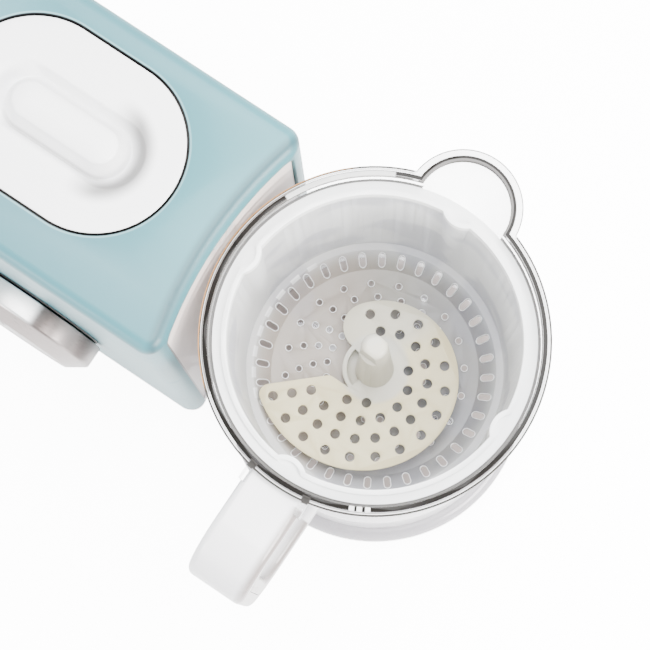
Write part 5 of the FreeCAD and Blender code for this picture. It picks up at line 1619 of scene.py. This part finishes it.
@dataclass
class Studio:
    """Pale floor that rises into a backdrop, soft lights and the photograph's camera."""

    floor_radius: float = 4.0
    flat_share: float = 0.6
    wall_height: float = 2.5
    bend_steps: int = 12
    floor_sides: int = 96
    floor_colour: Colour = (0.9, 0.9, 0.9)
    floor_roughness: float = 0.8
    floor_glow: float = 10.0
    floor_reflection: float = 0.24
    sky: tuple[float, float, float, float] = (0.97, 0.98, 1.0, 1.0)
    sky_strength: float = 1.5
    boxes: tuple[SoftBox, ...] = (
        SoftBox("overhead", (0.1, 0.3, 1.2), (0.0, 0.0, 0.15), size=1.0, power=45.0),
        SoftBox("right_side", (1.1, -0.1, 0.75), (0.05, 0.0, 0.1), size=0.6, power=42.0,
                colour=(1.0, 0.98, 0.95)),
        SoftBox("front_strip", (-0.35, -1.0, 0.55), (-0.05, 0.0, 0.15), size=0.35, power=7.0))
    image_side: float = 650.0
    focal_pixels: float = 2194.0
    down_pixel: Pair = (375.0, 645.0)
    rim_pixel: Pair = (374.7, 339.0)
    rim_distance: float = 0.775
    across_direction: Pair = (0.834, 0.552)
    sensor: float = 36.0
    clip: float = 0.01

    def floor(self) -> None:
        """Builds the self-lit floor, which is weaker in reflections than to the camera."""
        profile = [(0.0, 0.0), (self.floor_radius * self.flat_share, 0.0)]
        for step in range(1, self.bend_steps + 1):
            angle = step / self.bend_steps * math.pi / 2
            reach = self.flat_share + (1 - self.flat_share) * math.sin(angle)
            profile.append((self.floor_radius * reach, self.wall_height * (1 - math.cos(angle))))
        mesh = bmesh.new()
        count = self.floor_sides
        turns = [2 * math.pi * i / count for i in range(count)]
        loops = [[mesh.verts.new((radius * math.cos(turn), radius * math.sin(turn), height))
                  for turn in turns] for radius, height in profile]
        for low, high in zip(loops, loops[1:]):
            for i in range(count):
                mesh.faces.new((low[i], low[(i + 1) % count], high[(i + 1) % count], high[i]))
        bmesh.ops.remove_doubles(mesh, verts=mesh.verts, dist=WELD)
        data = plain(mesh, "floor")
        data.shade_smooth()
        kit = ShaderKit("floor_finish")
        direct = kit.node("ShaderNodeLightPath", output="Is Camera Ray")
        data.materials.append(kit.done(kit.surface(
            Base_Color=self.floor_colour, Roughness=self.floor_roughness,
            Emission_Color=kit.mix(direct, (self.floor_reflection,) * 3, (1.0, 1.0, 1.0)),
            Emission_Strength=self.floor_glow)))
        floor = linked("floor", data)
        floor.visible_diffuse = False

    def light(self) -> None:
        """Sets the world and the soft boxes."""
        world = bpy.data.worlds.new("studio")
        world.use_nodes = True
        background = world.node_tree.nodes["Background"]
        background.inputs["Color"].default_value = self.sky
        background.inputs["Strength"].default_value = self.sky_strength
        bpy.context.scene.world = world
        for box in self.boxes:
            box.build()

    def camera(self) -> None:
        """Places the camera from the pixels of the plumb point and of the bowl's rim."""
        middle = self.image_side / 2
        plumb = Vector((self.down_pixel[0] - middle, self.down_pixel[1] - middle,
                        self.focal_pixels)).normalized()
        across, down = self.across_direction
        sideways = Vector((across, down, -(plumb.x * across + plumb.y * down) / plumb.z)).normalized()
        up = -plumb
        to_world = Matrix((sideways, up.cross(sideways), up))
        rim = Vector((*bowl_axis(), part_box("bowl")[1].z))
        offset = Vector(((self.rim_pixel[0] - middle) / self.focal_pixels,
                         (self.rim_pixel[1] - middle) / self.focal_pixels, 1.0)) * self.rim_distance
        data = bpy.data.cameras.new("camera")
        data.sensor_width = self.sensor
        data.lens = self.focal_pixels * self.sensor / self.image_side
        data.clip_start = self.clip
        camera = linked("camera", data)
        right = to_world @ Vector((1, 0, 0))
        upward = to_world @ Vector((0, -1, 0))
        back = to_world @ Vector((0, 0, -1))
        turn = Matrix((right, upward, back)).transposed().to_4x4()
        camera.matrix_world = Matrix.Translation(rim - to_world @ offset) @ turn
        bpy.context.scene.camera = camera


@dataclass(frozen=True)
class Finishes:
    """The object's finishes, with tinted zones that follow its edges and seams; most of the zones are painted
    shade, painted highlights and painted refraction lines.

    Turns are degrees about the bowl's axis. Bands, and the gap and radii that end them, are
    millimetres outward from an outline.
    """

    lid_gap: float = 0.8
    # Bands of painted highlight and shade round the lid and the grip follow: a highlight on the lip, shade on
    # the lid's side, on the tank's rim, beside the grip and along its near side.
    lid_lip_highlight: Pair = (1.0, 1.7)
    lid_side: Pair = (-0.3, 1.0)
    tank_rim_shade: Pair = (-1.2, 4.0)
    grip: Pair = TankLid.grip
    grip_shade: Pair = (2.0, 8.5)
    grip_line: Pair = (-0.4, 1.2)
    scoop_radius: float = 155.0 * MM
    scoop_depth: float = 5.1 * MM
    # band of painted shade along the fold
    fold: Pair = (1.5, 5.0)
    window_lip: float = 8.0 * MM
    panel_seam: float = 1.1 * MM
    # band of painted shade at the drum's seam
    drum_seam_shade: Pair = (-2.0, 0.6)
    handle_start: float = 64.5 * MM
    handle_side: float = 9.5 * MM
    post_radius: float = 13.5
    knob_bevel: float = Selector.bevel
    mouth_radius: float = 59.2 * MM
    lip_depth: float = 7.5 * MM
    # Bands and turns of the painted refraction lines, highlights and glints on the rim and the spout follow.
    mouth: Pair = (0.25, 1.95)
    mouth_wall: Pair = (-0.8, 0.3)
    ledge: Pair = (-1.6, 0.3)
    lift: Pair = (-0.3, 1.5)
    rim_flat: Pair = (1.75, 4.0)
    bright_line: Pair = (2.35, 2.75)
    dark_line: Pair = (2.2, 2.4)
    outer_line: Pair = (2.75, 4.0)
    warm_line: Pair = (3.15, 4.0)
    tab_mark: Pair = (1.2, 4.0)
    spout_offset: float = 57.0 * MM
    spout_radius: float = 17.0 * MM
    spout_inner: Pair = (-1.0, 0.75)
    spout_flange: Pair = (1.75, 5.4)
    spout_edge: Pair = (3.95, 5.4)
    tab_turns: Pair = (259.6, 280.6)
    glint_turns: Triple = (296.0, 298.6, 301.4)
    # radius of the painted shade on the bowl's floor
    floor_radius: float = 49.0
    slots: int = Basket.slots
    slot_circle: float = 47.4 * MM
    # band of the painted highlight strips between the slots
    slot_highlight_bars: Pair = (-0.7, 0.9)
    far: float = 1.0

    def above(self, axis: Axis, start: float, soft: float = 0.1 * MM) -> AlongMask:
        """Everything beyond a place on an axis."""
        return AlongMask(axis, start, self.far, soft)

    def below(self, axis: Axis, stop: float, soft: float = 0.1 * MM) -> AlongMask:
        """Everything before a place on an axis."""
        return AlongMask(axis, -self.far, stop, soft)

    @staticmethod
    def beside(centre: Pair, radius: float, band: Pair, soft: float = 0.12) -> OutlineMask:
        """Band beside a circle."""
        return OutlineMask(centre, radius, band[0] * MM, band[1] * MM, soft * MM)

    @staticmethod
    def beside_lid(band: Pair, soft: float = 0.1, size: Optional[Pair] = None) -> OutlineMask:
        """Band beside the tank lid's outline, or beside a smaller one about the same middle.

        Args:
            band: where the band starts and stops.
            soft: half the width of its soft edges, in millimetres.
            size: length and width of the smaller outline.

        Returns:
            The mask.
        """
        low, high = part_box("tank_lid")
        length, width = size or (high.x - low.x, high.y - low.y)
        return OutlineMask(((low.x + high.x) / 2, (low.y + high.y) / 2), width / 2, band[0] * MM,
                           band[1] * MM, soft * MM, length / 2 - width / 2)

    def teal(self) -> Moulded:
        """Tower shell: painted shade deep in the gap round the lid, a painted highlight on the lip round it,
        a soft band of painted shade along the fold beside the bowl, and painted light and shade across the
        top.

        Returns:
            The finish.
        """
        low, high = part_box("tower_shell")
        scoop = (high.x - self.scoop_depth + self.scoop_radius, (low.y + high.y) / 2)
        top = self.above(Axis.Z, high.z - 5 * MM, 1 * MM)
        # painted light towards the right of the top, painted shade towards its near edge
        right = self.above(Axis.X, low.x + 95 * MM, 35 * MM)
        near = self.below(Axis.Y, low.y + 28 * MM, 18 * MM)
        # painted shade deep in the gap round the lid
        gap_shade = self.beside_lid((-self.far / MM, self.lid_gap + 0.25))
        return Moulded(Slot.TEAL, (0.045, 0.185, 0.215), (0.042, 0.175, 0.205), 0.42, 0.05, (
            Zone((0.06, 0.23, 0.26), (right, top), 0.6),
            Zone((0.034, 0.145, 0.172), (near, top), 0.7),
            # painted shade along the fold, painted highlight on the lip, painted shade in the gap
            Zone((0.012, 0.06, 0.075), (self.beside(scoop, self.scoop_radius, self.fold, 2.0), top), 0.9),
            Zone((0.22, 0.42, 0.45), (self.beside_lid(self.lid_lip_highlight, 0.2), top), 0.6),
            Zone((0.004, 0.005, 0.006), (gap_shade,))))

    def panel(self) -> Moulded:
        """Side panel: painted shade darkens it towards its foot, and a dark seam runs at its front edge.

        Returns:
            The finish.
        """
        foot = self.below(Axis.Z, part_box("side_panel")[0].z + 55 * MM, 40 * MM)
        seam = self.below(Axis.Y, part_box("tower_shell")[0].y + self.window_lip + self.panel_seam)
        return Moulded(Slot.PANEL, (0.78, 0.68, 0.63), (0.75, 0.655, 0.605), 0.3, 0.2, (
            # painted shade towards the panel's foot
            Zone((0.40, 0.31, 0.30), (foot,), 0.6),
            Zone((0.05, 0.045, 0.045), (seam,), 0.85)))

    def white(self) -> Moulded:
        """Base and handle: a lilac-grey tray, made darker with painted shade, below a white drum with a thin
        line of painted shade at its seam, and painted shade on the handle's side.

        Returns:
            The finish.
        """
        axis = bowl_axis()
        tray_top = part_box("base_tray")[1].z
        drum_low, drum_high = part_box("motor_base")
        tray = self.below(Axis.Z, tray_top + 0.05 * MM, 0.05 * MM)
        seam = self.beside(axis, (drum_high.y - drum_low.y) / 2, self.drum_seam_shade)
        seam_level = AlongMask(Axis.Z, tray_top - 1 * MM, tray_top + 1.3 * MM)
        side = self.above(Axis.X, axis[0] + self.handle_side, 2 * MM)
        near = self.below(Axis.Y, axis[1] - self.handle_start, 0.5 * MM)
        return Moulded(Slot.WHITE, (0.90, 0.89, 0.90), (0.87, 0.86, 0.88), 0.25, 0.3, (
            # lilac-grey tray, darkened with painted shade
            Zone((0.37, 0.355, 0.38), (tray,)),
            # painted shade in the seam between drum and tray
            Zone((0.16, 0.15, 0.155), (seam, seam_level), 0.9),
            # painted shade on the handle's side
            Zone((0.14, 0.10, 0.085), (side, near), 0.9)))

    def lid(self) -> Moulded:
        """Tank lid: shadowed edge, with shade at the grip's end and along the grip's near side.

        Returns:
            The finish.
        """
        low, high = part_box("tank_lid")
        shell_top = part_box("tower_shell")[1].z
        middle = (low + high) / 2
        side = self.beside_lid(self.lid_side)
        edge = self.below(Axis.Z, shell_top - 0.35 * MM)
        end = self.above(Axis.X, middle.x + 5 * MM, 22 * MM)
        grip_end = self.above(Axis.X, middle.x + 17 * MM, 7 * MM)
        near = self.below(Axis.Y, middle.y - 8 * MM, 2 * MM)
        sunk = self.below(Axis.Z, shell_top - 0.4 * MM, 0.4 * MM)
        return Moulded(Slot.LID, (0.96, 0.96, 0.965), (0.94, 0.94, 0.95), 0.34, 0.2, (
            # painted shade on the lid's edge, darkest towards its right end; then painted shade beside the
            # grip's end and along its near side
            Zone((0.30, 0.30, 0.30), (side, edge), 0.5),
            Zone((0.01, 0.01, 0.01), (side, edge, end)),
            Zone((0.13, 0.127, 0.124), (self.beside_lid(self.grip_shade, 2.8, self.grip), grip_end), 0.9),
            Zone((0.50, 0.50, 0.50), (self.beside_lid(self.grip_line, 0.4, self.grip), near, sunk), 0.6)))

    def beige(self) -> Moulded:
        """Strainer plate: paler post, collar and inner lobe.

        Returns:
            The finish.
        """
        post = self.beside(bowl_axis(), 0.0, (-1.0, self.post_radius), 1.2)
        lobe = SectorMask(bowl_axis(), 135.0, 50.0, 30.0)
        return Moulded(Slot.BEIGE, (0.56, 0.49, 0.285), (0.54, 0.47, 0.275), 0.42, 0.1, (
            Zone((0.47, 0.45, 0.37), (lobe,), 0.8),
            Zone((0.46, 0.45, 0.40), (post,), 0.8)))

    def silver(self) -> SatinSilver:
        """Knob lacquer, with painted reflection stripes and a painted highlight on its side.

        Returns:
            The finish.
        """
        low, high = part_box("control_knob")
        # the second colour is the dark side of the painted reflection stripes
        return SatinSilver(Slot.SILVER, (0.32, 0.285, 0.275), (0.075, 0.06, 0.056),
                           ((low.x + high.x) / 2, (low.z + high.z) / 2), low.y + self.knob_bevel)

    def clear(self) -> ClearWall:
        """Bowl: a dark ring and fine dark and light lines on the rim and round the spout, painted where the
        edges bend the light, painted glints, and painted shade on the floor.

        Returns:
            The finish.
        """
        axis = bowl_axis()
        low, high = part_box("bowl")
        spout = (axis[0], axis[1] + self.spout_offset)
        on_rim = self.above(Axis.Z, high.z - 1.5 * MM, 0.2 * MM)
        on_wall = self.above(Axis.Z, high.z - 3.2 * MM, 0.3 * MM)
        ledge = high.z - self.lip_depth
        on_ledge = AlongMask(Axis.Z, ledge - 0.5 * MM, ledge + 0.5 * MM)
        on_floor = self.below(Axis.Z, low.z + 12 * MM, 2 * MM)
        within = self.beside(axis, 0.0, (-1.0, self.floor_radius), 1.0)
        by_spout = SectorMask(axis, 90.0, 19.0)
        by_lift = SectorMask(axis, 136.0, 18.0)
        by_tower = SectorMask(axis, 180.0, 42.0, 10.0)
        away = Outside(by_spout)

        def ring(band: Pair) -> OutlineMask:
            """Band outward from the mouth."""
            return self.beside(axis, self.mouth_radius, band)

        def opening(band: Pair) -> OutlineMask:
            """Band outward from the mouth and the spout together."""
            return OutlineMask(axis, self.mouth_radius, band[0] * MM, band[1] * MM,
                               lobe=(spout, self.spout_radius))

        def round_spout(band: Pair) -> OutlineMask:
            """Band outward from the spout."""
            return self.beside(spout, self.spout_radius, band)

        return ClearWall(Slot.CLEAR, (0.86, 0.87, 0.88), (
            # painted shade on the bowl's floor, below the basket's slots; then painted refraction lines and
            # painted highlights on the rim
            Zone((0.60, 0.53, 0.50), (on_floor, within), 0.75),
            Zone((0.62, 0.62, 0.62), (ring(self.rim_flat), on_rim), 0.55),
            Zone((0.20, 0.195, 0.19), (ring(self.ledge), on_ledge)),
            Zone((0.09, 0.085, 0.08), (opening(self.mouth_wall), on_wall)),
            Zone((0.95, 0.95, 0.95), (ring(self.bright_line), on_rim, away), 0.9),
            Zone((0.70, 0.70, 0.70), (round_spout(self.spout_flange), on_rim, by_spout), 0.6),
            Zone((0.12, 0.115, 0.11), (ring(self.dark_line), on_rim, away)),
            Zone((0.05, 0.048, 0.046), (ring(self.outer_line), on_rim, away)),
            Zone((0.42, 0.22, 0.09), (ring(self.warm_line), on_rim, by_tower)),
            Zone((0.16, 0.16, 0.155), (round_spout(self.spout_edge), on_rim, by_spout)),
            Zone((0.01, 0.009, 0.008), (opening(self.mouth), on_rim)),
            Zone((0.14, 0.135, 0.13), (round_spout(self.spout_inner), on_rim, by_spout)),
            Zone((0.62, 0.62, 0.61), (opening(self.lift), on_rim, by_lift)),
            *(Zone((0.04, 0.038, 0.036), (ring(self.tab_mark), on_rim, SectorMask(axis, turn, 1.2, 0.4)))
              for turn in self.tab_turns),
            # painted glints on the mouth
            *(Zone((0.8, 0.8, 0.8), (opening(self.mouth), on_rim, SectorMask(axis, turn, 0.5, 0.5)), 0.9)
              for turn in self.glint_turns)))

    def frosted(self) -> Frosted:
        """Basket: painted light on the floor's side towards the tower and painted shade on the far side, and
        painted highlight strips between the slots on one side.

        Returns:
            The finish.
        """
        low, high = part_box("steam_basket")
        axis = bowl_axis()
        floor = self.below(Axis.Z, low.z + 9 * MM, 3 * MM)
        # painted light towards the tower and painted shade on the far side of the floor
        lit_floor_side = SectorMask(axis, 200.0, 55.0, 35.0)
        shaded_floor_side = SectorMask(axis, 20.0, 55.0, 35.0)
        # painted highlight strips between the slots, on one side of the basket
        highlight_bars = self.beside(axis, self.slot_circle, self.slot_highlight_bars, 0.2)
        painted_highlight = SectorMask(axis, 190.0, 32.0, 10.0)
        zones = (Zone((0.46, 0.375, 0.31), (floor, lit_floor_side), 0.5),
                 Zone((0.24, 0.25, 0.285), (floor, shaded_floor_side), 0.5),
                 Zone((0.97, 0.97, 0.97), (highlight_bars, painted_highlight, SpokeMask(axis, self.slots)), 0.85))
        return Frosted(Slot.FROSTED, (0.33, 0.312, 0.27), (0.70, 0.71, 0.72), (0.92, 0.93, 0.93),
                       low.z, high.z, zones)

    def all(self) -> list[Finish]:
        """Collects every finish of the object.

        Returns:
            One finish for each slot.
        """
        # painted shade on the tank's rim, down in the gap round the lid
        tank_rim_shade = Zone((0.01, 0.01, 0.01), (self.beside_lid(self.tank_rim_shade),))
        return [
            self.teal(), self.panel(), self.white(), self.lid(), self.beige(), self.silver(), self.clear(),
            self.frosted(),
            Moulded(Slot.DARK, (0.02, 0.02, 0.022), (0.03, 0.03, 0.032), 0.5),
            Moulded(Slot.RUBBER, (0.03, 0.03, 0.032), (0.045, 0.045, 0.047), 0.7),
            Moulded(Slot.SILICONE, (0.6, 0.6, 0.6), (0.55, 0.55, 0.56), 0.45),
            Moulded(Slot.MAGNET, (0.05, 0.05, 0.052), (0.07, 0.07, 0.07), 0.6),
            Moulded(Slot.BOARD, (0.02, 0.12, 0.05), (0.025, 0.15, 0.07), 0.35),
            Brushed(Slot.STEEL, (0.62, 0.62, 0.64), (0.56, 0.56, 0.58), 0.25, (tank_rim_shade,)),
            Brushed(Slot.DARK_STEEL, (0.22, 0.22, 0.24), (0.17, 0.17, 0.18), 0.36),
            Brushed(Slot.ALUMINIUM, (0.68, 0.69, 0.7), (0.6, 0.61, 0.62), 0.4),
            Brushed(Slot.COPPER, (0.65, 0.34, 0.18), (0.55, 0.28, 0.15), 0.3),
        ]


def main() -> None:
    """Builds the object and the studio."""
    logging.basicConfig(level=logging.INFO, format="%(message)s")
    shop = Workshop(Palette(Finishes().all()))
    for assembly in (Tower(), TankLid(), Selector(), MotorBase(), BowlSet(), Basket()):
        LOG.info("building %s", type(assembly).__name__)
        assembly.build(shop)
        assembly.dress(shop.palette)
    studio = Studio()
    studio.floor()
    studio.light()
    studio.camera()
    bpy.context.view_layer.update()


if __name__ == "__main__":
    main()
